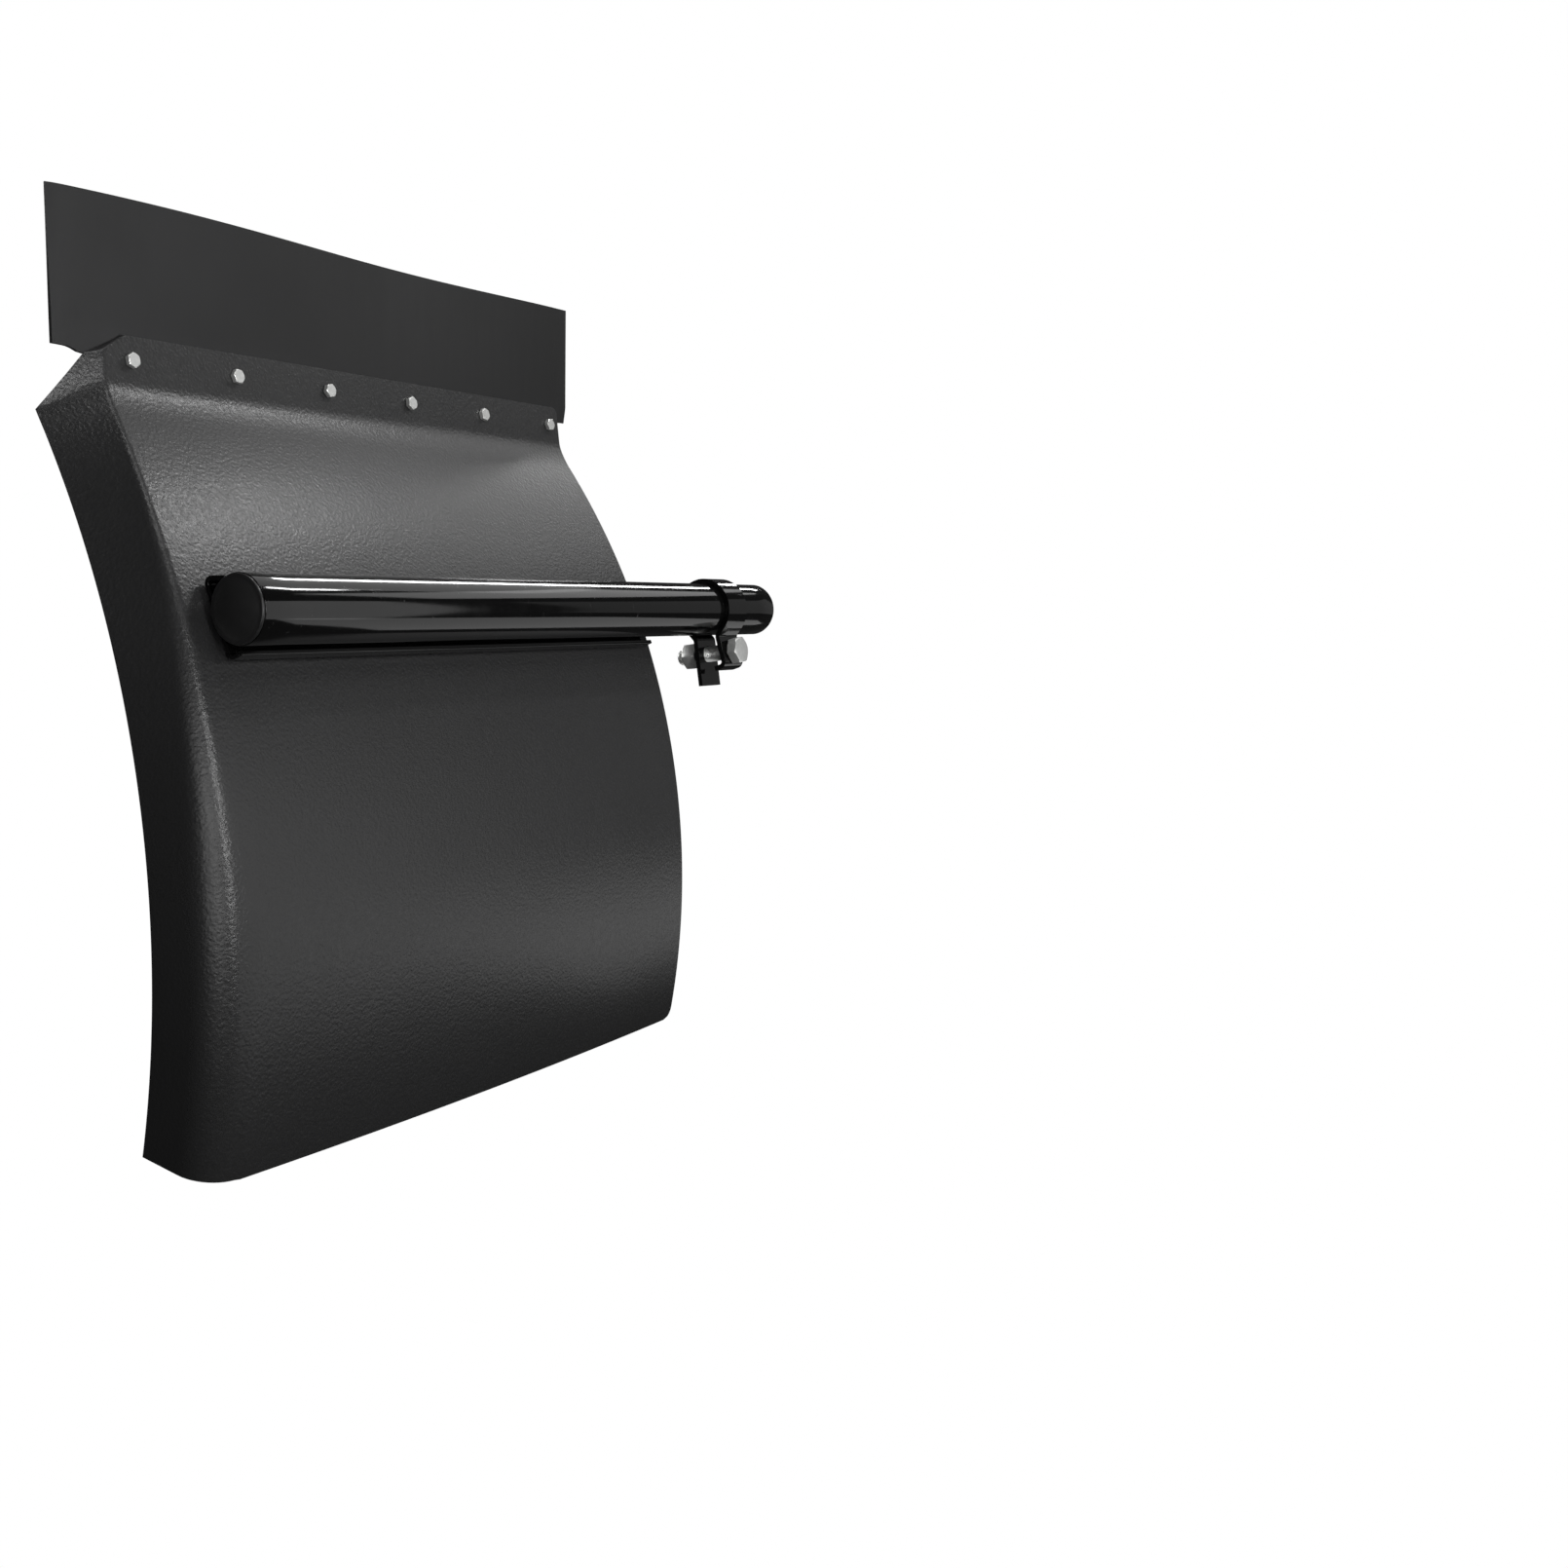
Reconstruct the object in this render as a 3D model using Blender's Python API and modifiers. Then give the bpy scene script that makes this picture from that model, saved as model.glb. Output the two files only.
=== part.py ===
"""Truck mud flap: a moulded quarter-fender shell with a bolted rubber flap, carried on a round mounting tube.

Metres, +Z up, X along the mounting tube, +Y rearward towards the wheel. The origin is on the tube's axis, in
the middle of the strap clamp that holds the whole flap to the truck. The outboard side is at -X.
"""

from math import acos, asin, atan2, cos, hypot, pi, radians, sin, sqrt, tan

import bmesh
import bpy
from mathutils import Matrix, Vector

GAP = 0.0003  # between pieces that touch

# Mounting tube and the channel that carries it
TUBE_RADIUS = 0.0254
TUBE_WALL = 0.003
TUBE_OUTBOARD_X = -0.625
TUBE_INBOARD_X = 0.080
CAP_RADIUS = 0.0248
CAP_DOME = 0.0045
CAP_PLUG_LENGTH = 0.016
CAP_RIM_HEIGHT = 0.0016
CAP_WALL = 0.0022
CHANNEL_THICK = 0.0035
CHANNEL_OUTBOARD_X = -0.620
CHANNEL_INBOARD_X = -0.104
CHANNEL_TOP = 0.0339
CHANNEL_BOTTOM = -0.0265
CHANNEL_LOWER_LIP = 0.0125
CHANNEL_UPPER_LIP_Y = 0.0180
CHANNEL_BEND_RADIUS = 0.004

# Shell: the face is an arc about the wheel, seen from the side as a circle in the YZ plane
WALL = 0.0032
FACE_RADIUS = 0.659
FACE_CENTRE = Vector((0.0, 0.641, -0.2515))
FACE_LOW_ANGLE = radians(-12.6)
FACE_HIGH_ANGLE = radians(37.2)
CROWN = 0.006
SHELL_INBOARD_X = -0.087
LOW_CORNER_RADIUS = 0.011
RIDGE_TOP_X = -0.627
RIDGE_LOW_RADIUS = 0.040
RIDGE_TOP_RADIUS = 0.009
SKIRT_X = -0.672
SKIRT_RADIUS = 0.744
SKIRT_CENTRE = Vector((0.0, 0.788, -0.227))
SKIRT_HIGH_ANGLE = radians(37.8)

# Flange along the top of the shell
FLANGE_BASE = Vector((0.0, 0.1196, 0.153))
FLANGE_LEAN = radians(6.3)
FLANGE_HEIGHT = 0.0428
FLANGE_CHAMFER_START = 0.028
FLANGE_CHAMFER_RUN = 0.020
FLANGE_CORNER_RADIUS = 0.006
SCREW_UP = 0.0248
SCREW_FIRST_X = -0.603
SCREW_PITCH = 0.1
SCREW_COUNT = 6

# Rubber flap and the steel strip that backs it
RUBBER = 0.003
FLAP_OUTBOARD_X = -0.668
FLAP_INBOARD_X = -0.0715
FLAP_TOP_Z = 0.2905
FLAP_SHOULDER_Z = 0.1825
FLAP_FRONT_Y = 0.1290
TONGUE_OUTBOARD_X = -0.620
TONGUE_INBOARD_X = -0.090
TONGUE_LOW = 0.0108
TONGUE_CORNER = (0.020, 0.016)
STRIP_THICK = 0.003
STRIP_WIDTH = 0.025

# Fasteners: thread diameter, width across flats, head height, nut height, washer outer diameter and thickness
M6 = {"thread": 0.006, "flats": 0.010, "head": 0.004, "nut": 0.005, "washer": (0.012, 0.0016)}
M8 = {"thread": 0.008, "flats": 0.013, "head": 0.0042, "nut": 0.0065, "washer": (0.024, 0.002)}
M16 = {"thread": 0.0158, "flats": 0.024, "head": 0.010, "nut": 0.0146, "washer": (0.026, 0.004)}
HOLE_PLAY = 0.0004
CARRIAGE_BOLT_COUNT = 4
CARRIAGE_BOLT_INSET = 0.050
CARRIAGE_BOLT_UP = 0.0195
CARRIAGE_HEAD_RADIUS = 0.0085
SHELL_SAG = 0.0014

# Strap clamp, drawn with its legs straight down and then swung forward about the tube
STRAP_THICK = 0.0045
STRAP_WIDTH = 0.034
CLAMP_SWING = radians(7.6)
CLAMP_BOLT_DROP = 0.0435
CLAMP_HEAD_Y = -0.0189
BACK_LEG_Y = 0.0130
BACK_LEG_BOTTOM = -0.0745
TAB_TOP = -0.0580
CLAMP_BOLT_TAIL_Y = 0.0425
CLAMP_HOLE_RADIUS = 0.0085
STRAP_KNEE = -0.0285
FRONT_LEG = [(-0.0055, -0.0592), (-0.0168, -0.0572), (-0.0122, -0.0275)]
FRONT_LEG_RADII = [0.005, 0.006]
SPLIT_GAP = 0.0016


# ---------------------------------------------------------------------------------------------- helpers

def clear_scene():
    for obj in list(bpy.data.objects):
        bpy.data.objects.remove(obj, do_unlink=True)


def new_collection(name):
    collection = bpy.data.collections.new(name)
    bpy.context.scene.collection.children.link(collection)
    return collection


def material(name, colour, roughness, metallic=0.0):
    found = bpy.data.materials.get(name)
    if found:
        return found
    made = bpy.data.materials.new(name)
    made.use_nodes = True
    shader = made.node_tree.nodes["Principled BSDF"]
    shader.inputs["Base Color"].default_value = (*colour, 1.0)
    shader.inputs["Roughness"].default_value = roughness
    shader.inputs["Metallic"].default_value = metallic
    made.diffuse_color = (*colour, 1.0)
    return made


def moulded_plastic():
    return material("moulded_plastic", (0.020, 0.020, 0.021), 0.45)


def black_rubber():
    return material("black_rubber", (0.028, 0.028, 0.030), 0.75)


def gloss_paint():
    return material("gloss_paint", (0.006, 0.006, 0.007), 0.12)


def cap_plastic():
    return material("cap_plastic", (0.012, 0.012, 0.013), 0.35)


def zinc_steel():
    return material("zinc_steel", (0.72, 0.72, 0.70), 0.30, 1.0)


def object_from_bmesh(name, mesh, collection, finish=None, smooth_angle=35.0):
    """A new object that holds this bmesh, which is freed."""
    data = bpy.data.meshes.new(name)
    bmesh.ops.recalc_face_normals(mesh, faces=mesh.faces)
    mesh.to_mesh(data)
    mesh.free()
    data.shade_smooth()
    data.set_sharp_from_angle(angle=radians(smooth_angle))
    obj = bpy.data.objects.new(name, data)
    collection.objects.link(obj)
    if finish:
        data.materials.append(finish)
    return obj


def cylinder_mesh(radius, depth, segments=24):
    """A closed cylinder on the Z axis, centred."""
    mesh = bmesh.new()
    bmesh.ops.create_cone(
        mesh, cap_ends=True, segments=segments, radius1=radius, radius2=radius, depth=depth
    )
    return mesh


def turned(name, profile, collection, finish, steps=24):
    """A closed profile of (radius, height) points turned about Z, outer side first and running down."""
    data = bpy.data.meshes.new(name)
    points = [(radius, 0.0, height) for radius, height in profile]
    edges = [(i, i + 1) for i in range(len(points) - 1)]
    if profile[0][0] > 0.0:
        edges.append((len(points) - 1, 0))
    data.from_pydata(points, edges, [])
    data.materials.append(finish)
    obj = bpy.data.objects.new(name, data)
    collection.objects.link(obj)
    screw = obj.modifiers.new("Turn", "SCREW")
    screw.axis = "Z"
    screw.steps = steps
    screw.render_steps = steps
    screw.use_merge_vertices = True
    screw.merge_threshold = 0.00001
    screw.use_smooth_shade = True
    return obj


def evaluated_copy(obj, collection):
    """The object with its modifiers made real, in place of the object."""
    bpy.context.view_layer.update()
    graph = bpy.context.evaluated_depsgraph_get()
    data = bpy.data.meshes.new_from_object(obj.evaluated_get(graph))
    name = obj.name
    matrix = obj.matrix_world.copy()
    bpy.data.objects.remove(obj, do_unlink=True)
    data.name = name
    made = bpy.data.objects.new(name, data)
    made.matrix_world = matrix
    collection.objects.link(made)
    return made


def boolean(obj, other, operation):
    modifier = obj.modifiers.new(operation.title(), "BOOLEAN")
    modifier.operation = operation
    modifier.object = other
    modifier.solver = "EXACT"
    return modifier


def hide_cutter(obj):
    obj.hide_render = True
    obj.display_type = "WIRE"
    return obj


def cutter_cylinder(name, radius, depth, matrix, segments=20):
    """A cylinder for cutting a hole along the matrix's Z axis."""
    obj = object_from_bmesh(name, cylinder_mesh(radius, depth, segments), CUTTERS)
    obj.matrix_world = matrix
    return hide_cutter(obj)


def axis_matrix(point, direction, spin=0.0):
    """A frame at the point whose Z axis runs along the direction and whose Y axis stays in the YZ plane."""
    z_axis = Vector(direction).normalized()
    x_axis = Vector((1.0, 0.0, 0.0))
    y_axis = z_axis.cross(x_axis).normalized()
    rotation = Matrix((x_axis, y_axis, z_axis)).transposed().to_4x4()
    return Matrix.Translation(point) @ rotation @ Matrix.Rotation(spin, 4, "Z")


def ribbon(name, points, x_low, x_high, thickness, collection, finish):
    """A bent flat bar: an open outline of (y, z) points drawn along X and given a thickness."""
    mesh = bmesh.new()
    low = [mesh.verts.new((x_low, y, z)) for y, z in points]
    high = [mesh.verts.new((x_high, y, z)) for y, z in points]
    for i in range(len(points) - 1):
        mesh.faces.new((low[i], low[i + 1], high[i + 1], high[i]))
    obj = object_from_bmesh(name, mesh, collection, finish)
    solid = obj.modifiers.new("Thickness", "SOLIDIFY")
    solid.thickness = thickness
    solid.offset = 0.0
    solid.use_even_offset = True
    return obj


def rounded_path(points, radii, steps=4):
    """An open path of (y, z) points with each inner corner turned into an arc of its radius."""
    path = [Vector(points[0])]
    for i in range(1, len(points) - 1):
        corner = Vector(points[i])
        before = (Vector(points[i - 1]) - corner).normalized()
        after = (Vector(points[i + 1]) - corner).normalized()
        half = acos(max(-1.0, min(1.0, before.dot(after)))) / 2
        radius = radii[i - 1]
        if radius <= 0.0:
            path.append(corner)
            continue
        run = radius / tan(half)
        centre = corner + (before + after).normalized() * (radius / sin(half))
        start = corner + before * run - centre
        end = corner + after * run - centre
        turn = atan2(start.x * end.y - start.y * end.x, start.dot(end))
        for k in range(steps + 1):
            angle = turn * k / steps
            path.append(centre + Matrix.Rotation(angle, 2) @ start)
    path.append(Vector(points[-1]))
    return path


# ---------------------------------------------------------------------------------------------- shell

FLANGE_UP = Vector((0.0, sin(FLANGE_LEAN), cos(FLANGE_LEAN)))
FLANGE_OUT = Vector((0.0, -cos(FLANGE_LEAN), sin(FLANGE_LEAN)))


def face_point(angle):
    """A point on the face's arc, at this angle above the level line forward from its centre."""
    return FACE_CENTRE + FACE_RADIUS * Vector((0.0, -cos(angle), sin(angle)))


def skirt_edge(angle):
    """Where a spoke of the face's arc at this angle meets the rear edge of the skirt."""
    spoke = Vector((0.0, -cos(angle), sin(angle)))
    offset = FACE_CENTRE - SKIRT_CENTRE
    along = offset.dot(spoke)
    reach = -along + sqrt(along * along - offset.length_squared + SKIRT_RADIUS ** 2)
    return FACE_CENTRE + spoke * reach


def smooth(value):
    value = max(0.0, min(1.0, value))
    return value * value * (3.0 - 2.0 * value)


def face_station(angle):
    """The shell's section at one angle: base point, outward normal, ridge X, skirt end, fillet, crown."""
    rise = (angle - FACE_LOW_ANGLE) / (FACE_HIGH_ANGLE - FACE_LOW_ANGLE)
    rise = max(0.0, min(1.0, rise))
    ridge_x = SKIRT_X + (RIDGE_TOP_X - SKIRT_X) * rise ** 2
    end = skirt_edge(angle)
    fillet = RIDGE_LOW_RADIUS + (RIDGE_TOP_RADIUS - RIDGE_LOW_RADIUS) * smooth(rise * 1.05)
    crown = CROWN * smooth((radians(17.0) - angle) / radians(14.0))
    normal = Vector((0.0, -cos(angle), sin(angle)))
    return {
        "base": face_point(angle),
        "normal": normal,
        "ridge_x": ridge_x,
        "end": Vector((SKIRT_X, end.y, end.z)),
        "fillet": fillet,
        "crown": crown,
    }


def flange_station(up, skirt_corner):
    """The section at one height up the flange, where the side wall shortens towards the top corner."""
    base = FLANGE_BASE + FLANGE_UP * up
    over = max(0.0, up - FLANGE_CHAMFER_START) / (FLANGE_HEIGHT - FLANGE_CHAMFER_START)
    ridge_x = RIDGE_TOP_X + FLANGE_CHAMFER_RUN * over ** 1.3
    back = base - FLANGE_OUT * (WALL + 0.0006)
    middle = Vector((RIDGE_TOP_X - 0.012, back.y + 0.0015, FLANGE_BASE.z + 0.027))
    if up < FLANGE_CHAMFER_START:
        share = up / FLANGE_CHAMFER_START
        end = skirt_corner.lerp(middle, share)
    else:
        corner = Vector((ridge_x - 0.0002, back.y, base.z + 0.0005))
        end = middle.lerp(corner, smooth(over) ** 0.8)
    return {
        "base": base,
        "normal": FLANGE_OUT,
        "ridge_x": ridge_x,
        "end": end,
        "fillet": 0.004 + (RIDGE_TOP_RADIUS - 0.004) * (1.0 - smooth(up / 0.03)),
        "crown": 0.0,
    }


def shell_stations(face_steps, fold_steps, flange_steps):
    """Sections from the shell's lower edge to the flange's top, with a fillet at the fold between the two."""
    stations = []
    fold_start = FACE_HIGH_ANGLE - radians(0.9)
    for i in range(face_steps + 1):
        angle = FACE_LOW_ANGLE + (fold_start - FACE_LOW_ANGLE) * i / face_steps
        stations.append(face_station(angle))
    last = stations[-1]
    highest = skirt_edge(SKIRT_HIGH_ANGLE)
    skirt_corner = Vector((SKIRT_X, highest.y, highest.z))
    first_up = 0.009
    high = flange_station(first_up, skirt_corner)
    for i in range(1, fold_steps):
        t = i / fold_steps
        if t <= 0.5:
            end = last["end"].lerp(skirt_corner, 2 * t)
        else:
            end = skirt_corner.lerp(high["end"], 2 * t - 1)
        corner = FLANGE_BASE + FLANGE_UP * 0.0005
        base = (1 - t) ** 2 * last["base"] + 2 * t * (1 - t) * corner + t ** 2 * high["base"]
        normal = last["normal"].slerp(high["normal"], t)
        stations.append({
            "base": base,
            "normal": normal,
            "ridge_x": last["ridge_x"] + (high["ridge_x"] - last["ridge_x"]) * t,
            "end": end,
            "fillet": last["fillet"] + (high["fillet"] - last["fillet"]) * t,
            "crown": 0.0,
        })
    for i in range(flange_steps + 1):
        up = first_up + (FLANGE_HEIGHT - first_up) * i / flange_steps
        stations.append(flange_station(up, skirt_corner))
    return stations


def section_points(station, inset, face_steps, ridge_steps, skirt_steps):
    """Points across one section, from the inboard edge round the ridge to the skirt's rear edge.

    An inset moves the section inwards, for the shell's inner surface.
    """
    out = station["normal"]
    base = station["base"] - out * inset
    ridge = Vector((station["ridge_x"] + inset, base.y, base.z))
    end = station["end"] + Vector((inset, 0.0, 0.0))
    side = end - ridge
    depth = -side.dot(out)
    if depth < 0.0004:
        end = end - out * (0.0004 - depth)
        side = end - ridge
    side_length = side.length
    side_dir = side.normalized()
    across = Vector((1.0, 0.0, 0.0))
    half = acos(max(-1.0, min(1.0, across.dot(side_dir)))) / 2
    radius = max(0.0003, min(station["fillet"] - inset, 0.45 * side_length * tan(half)))
    run = radius / tan(half)
    inboard = SHELL_INBOARD_X
    start = ridge + across * run
    centre = ridge + (across + side_dir).normalized() * (radius / sin(half))
    stop = ridge + side_dir * run
    middle = (inboard + station["ridge_x"]) / 2
    reach = (inboard - station["ridge_x"]) / 2
    points = []
    for i in range(face_steps + 1):
        x = inboard + (start.x - inboard) * i / face_steps
        bulge = station["crown"] * max(0.0, 1.0 - ((x - middle) / reach) ** 2)
        points.append(Vector((x, base.y, base.z)) + out * bulge)
    first = start - centre
    last = stop - centre
    axis = first.cross(last)
    turn = pi - 2 * half
    for i in range(1, ridge_steps + 1):
        spin = Matrix.Rotation(turn * i / ridge_steps, 3, axis)
        points.append(centre + spin @ first)
    for i in range(1, skirt_steps + 1):
        points.append(stop.lerp(end, i / skirt_steps))
    return points


def round_inboard_corners(rows):
    """Pulls the ends of the inboard edge in, so that its lower and upper corners are rounded."""
    low, high = rows[0][0], rows[-1][0]
    for row in rows:
        for corner, radius in ((low.copy(), LOW_CORNER_RADIUS), (high.copy(), FLANGE_CORNER_RADIUS)):
            distance = (row[0] - corner).length
            if distance >= radius:
                continue
            pull = radius - sqrt(max(0.0, radius ** 2 - (radius - distance) ** 2))
            span = row[0].x - row[1].x
            row[0].x -= min(pull, 0.8 * span)


def build_shell():
    stations = shell_stations(22, 4, 5)
    rows_out = [section_points(s, 0.0, 7, 4, 2) for s in stations]
    rows_in = [section_points(s, WALL, 7, 4, 2) for s in stations]
    round_inboard_corners(rows_out)
    for row_out, row_in in zip(rows_out, rows_in):
        row_in[0].x = row_out[0].x
    mesh = bmesh.new()
    outer = [[mesh.verts.new(point) for point in row] for row in rows_out]
    inner = [[mesh.verts.new(point) for point in row] for row in rows_in]
    rows = len(outer)
    columns = len(outer[0])
    for r in range(rows - 1):
        for c in range(columns - 1):
            mesh.faces.new((outer[r][c], outer[r][c + 1], outer[r + 1][c + 1], outer[r + 1][c]))
            mesh.faces.new((inner[r][c], inner[r + 1][c], inner[r + 1][c + 1], inner[r][c + 1]))
    for c in range(columns - 1):
        mesh.faces.new((outer[0][c], inner[0][c], inner[0][c + 1], outer[0][c + 1]))
        mesh.faces.new((outer[-1][c], outer[-1][c + 1], inner[-1][c + 1], inner[-1][c]))
    for r in range(rows - 1):
        mesh.faces.new((outer[r][0], outer[r + 1][0], inner[r + 1][0], inner[r][0]))
        mesh.faces.new((outer[r][-1], inner[r][-1], inner[r + 1][-1], outer[r + 1][-1]))
    shell = object_from_bmesh("fender_shell", mesh, PARTS, moulded_plastic())
    for k, point in enumerate(screw_places()):
        matrix = axis_matrix(point, FLANGE_OUT)
        radius = M6["thread"] / 2 + HOLE_PLAY
        boolean(shell, cutter_cylinder(f"cut_shell_screw_{k + 1}", radius, 0.03, matrix), "DIFFERENCE")
    for k, point in enumerate(carriage_places()):
        matrix = axis_matrix(point, PLATE_OUT)
        radius = M8["thread"] / 2 + HOLE_PLAY
        boolean(shell, cutter_cylinder(f"cut_shell_carriage_{k + 1}", radius, 0.03, matrix), "DIFFERENCE")
    return shell


# ---------------------------------------------------------------------------------------------- rubber flap

def screw_places():
    """Where the six flange screws pass through the flange's front face."""
    level = FLANGE_BASE + FLANGE_UP * SCREW_UP
    return [Vector((SCREW_FIRST_X + SCREW_PITCH * k, level.y, level.z)) for k in range(SCREW_COUNT)]


def flange_layer(depth):
    """The point on the screw line this far behind the flange's front face."""
    return FLANGE_BASE + FLANGE_UP * SCREW_UP - FLANGE_OUT * depth


def leaning_plate(name, x_low, x_high, low, high, front_depth, thickness, finish):
    """A plate parallel to the flange, between two heights from the screw line, behind the flange's face."""
    mesh = bmesh.new()
    bmesh.ops.create_cube(mesh, size=1.0)
    bmesh.ops.scale(mesh, vec=(x_high - x_low, high - low, thickness), verts=mesh.verts)
    obj = object_from_bmesh(name, mesh, PARTS, finish)
    middle = flange_layer(front_depth + thickness / 2) + FLANGE_UP * (low + high) / 2
    middle.x = (x_low + x_high) / 2
    obj.matrix_world = axis_matrix(middle, FLANGE_OUT)
    return obj


def cut_screw_holes(obj, label):
    for k, point in enumerate(screw_places()):
        matrix = axis_matrix(point, FLANGE_OUT)
        radius = M6["thread"] / 2 + HOLE_PLAY
        cutter = cutter_cylinder(f"cut_{label}_{k + 1}", radius, 0.04, matrix, 16)
        boolean(obj, cutter, "DIFFERENCE")


def outline_plate(name, outline, thickness, matrix, finish):
    """A flat plate: a closed outline in the matrix's XY plane, its thickness centred on that plane."""
    curve = bpy.data.curves.new(name, "CURVE")
    curve.dimensions = "2D"
    curve.fill_mode = "BOTH"
    curve.extrude = thickness / 2
    curve.render_resolution_u = 0
    spline = curve.splines.new("POLY")
    spline.points.add(len(outline) - 1)
    for point, (x, y) in zip(spline.points, outline):
        point.co = (x, y, 0.0, 1.0)
    spline.use_cyclic_u = True
    curve.materials.append(finish)
    plate = bpy.data.objects.new(name, curve)
    PARTS.objects.link(plate)
    plate.matrix_world = matrix
    return plate


def mesh_from_curve(obj):
    """The curve object as a mesh object, its doubled rim points merged, ready for a Boolean."""
    made = evaluated_copy(obj, PARTS)
    mesh = bmesh.new()
    mesh.from_mesh(made.data)
    bmesh.ops.remove_doubles(mesh, verts=mesh.verts, dist=0.00001)
    mesh.to_mesh(made.data)
    mesh.free()
    return made


def build_rubber():
    front = WALL + GAP
    low = TONGUE_LOW - SCREW_UP
    high = FLANGE_HEIGHT - SCREW_UP - 0.0005
    cut_x, cut_up = TONGUE_CORNER
    outline = [
        (TONGUE_OUTBOARD_X, low),
        (TONGUE_INBOARD_X, low),
        (TONGUE_INBOARD_X, high),
        (TONGUE_OUTBOARD_X + cut_x, high),
        (TONGUE_OUTBOARD_X, high - cut_up),
    ]
    matrix = axis_matrix(flange_layer(front + RUBBER / 2), FLANGE_OUT)
    tongue = mesh_from_curve(outline_plate("rubber_flap_tongue", outline, RUBBER, matrix, black_rubber()))
    cut_screw_holes(tongue, "tongue")
    strip_front = front + RUBBER + GAP
    strip = leaning_plate(
        "backing_strip", TONGUE_OUTBOARD_X + 0.002, TONGUE_INBOARD_X - 0.002, -STRIP_WIDTH / 2,
        STRIP_WIDTH / 2, strip_front, STRIP_THICK, gloss_paint(),
    )
    cut_screw_holes(strip, "strip")
    hinge = flap_hinge()
    matrix = axis_matrix((0.0, hinge.y, hinge.z), (0.0, -1.0, 0.0))
    outline_plate("rubber_flap_free", flap_outline(hinge.z), RUBBER, matrix, black_rubber())


def flap_outline(level):
    """The free part of the rubber: a wide band whose ends hang down as ears beside the flange.

    Heights are measured from the level.
    """
    neck = 0.0006
    shoulder = FLAP_SHOULDER_Z - level
    top = FLAP_TOP_Z - level
    return [
        (FLAP_OUTBOARD_X, shoulder),
        (TONGUE_OUTBOARD_X - 0.027, shoulder),
        (TONGUE_OUTBOARD_X - 0.021, shoulder + 0.006),
        (TONGUE_OUTBOARD_X - 0.021, neck),
        (SHELL_INBOARD_X + 0.0015, neck),
        (SHELL_INBOARD_X + 0.0015, shoulder),
        (FLAP_INBOARD_X, shoulder),
        (FLAP_INBOARD_X, top),
        (FLAP_OUTBOARD_X, top),
    ]


def flap_hinge():
    """The rubber bends about this line, in the middle of its thickness just above the flange."""
    top = FLANGE_BASE + FLANGE_UP * FLANGE_HEIGHT
    return Vector((0.0, FLAP_FRONT_Y + RUBBER / 2, top.z + 0.0006))


# ---------------------------------------------------------------------------------------------- tube, channel

TUBE_TO_FACE = hypot(FACE_CENTRE.y, FACE_CENTRE.z) - FACE_RADIUS
PLATE_TILT = atan2(-FACE_CENTRE.z, FACE_CENTRE.y)
PLATE_OUT = Vector((0.0, -cos(PLATE_TILT), sin(PLATE_TILT)))
PLATE_UP = Vector((0.0, sin(PLATE_TILT), cos(PLATE_TILT)))


def plate_point(depth, up):
    """A point this far behind the tube's axis, square to the channel's back plate, and this far up it."""
    return PLATE_UP * up - PLATE_OUT * depth


def carriage_places():
    """Where the carriage bolts pass through the channel's back plate, on its middle plane."""
    first = CHANNEL_OUTBOARD_X + CARRIAGE_BOLT_INSET
    last = CHANNEL_INBOARD_X - CARRIAGE_BOLT_INSET
    step = (last - first) / (CARRIAGE_BOLT_COUNT - 1)
    level = plate_point(plate_depth(), CARRIAGE_BOLT_UP)
    return [Vector((first + step * k, level.y, level.z)) for k in range(CARRIAGE_BOLT_COUNT)]


def plate_depth():
    return TUBE_TO_FACE - 2 * GAP - CHANNEL_THICK / 2


def build_tube():
    """The mounting tube, open at both ends, with a domed plug cap in each."""
    inner = TUBE_RADIUS - TUBE_WALL
    length = TUBE_INBOARD_X - TUBE_OUTBOARD_X
    profile = [(TUBE_RADIUS, length), (TUBE_RADIUS, 0.0), (inner, 0.0), (inner, length)]
    tube = turned("mounting_tube", profile, PARTS, gloss_paint(), 48)
    tube.matrix_world = axis_matrix_along_x(TUBE_OUTBOARD_X, 1.0)
    for name, x, way in (
        ("outboard_end_cap", TUBE_OUTBOARD_X, -1.0),
        ("inboard_end_cap", TUBE_INBOARD_X, 1.0),
    ):
        cap = turned(name, cap_profile(), PARTS, cap_plastic(), 32)
        cap.matrix_world = axis_matrix_along_x(x, way)


def axis_matrix_along_x(x, way):
    """A frame at X on the tube's axis whose Z axis runs outwards along X."""
    return Matrix.Translation((x, 0.0, 0.0)) @ Matrix.Rotation(way * pi / 2, 4, "Y")


def cap_profile():
    """A plug cap's half section, from the middle of its dome round the rim to the hollow plug."""
    dome_radius = (CAP_RADIUS ** 2 + CAP_DOME ** 2) / (2 * CAP_DOME)
    widest = asin(CAP_RADIUS / dome_radius)
    outside = []
    for i in range(6):
        angle = widest * 0.94 * i / 5
        height = dome_radius * cos(angle) - dome_radius + CAP_DOME + CAP_RIM_HEIGHT
        outside.append((dome_radius * sin(angle), height))
    plug = TUBE_RADIUS - TUBE_WALL - GAP
    outside += [
        (CAP_RADIUS, CAP_RIM_HEIGHT),
        (CAP_RADIUS, GAP),
        (plug, GAP),
        (plug, -CAP_PLUG_LENGTH),
        (plug - CAP_WALL, -CAP_PLUG_LENGTH),
        (plug - CAP_WALL, -0.001),
        (0.0, -0.001),
    ]
    return outside


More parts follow.
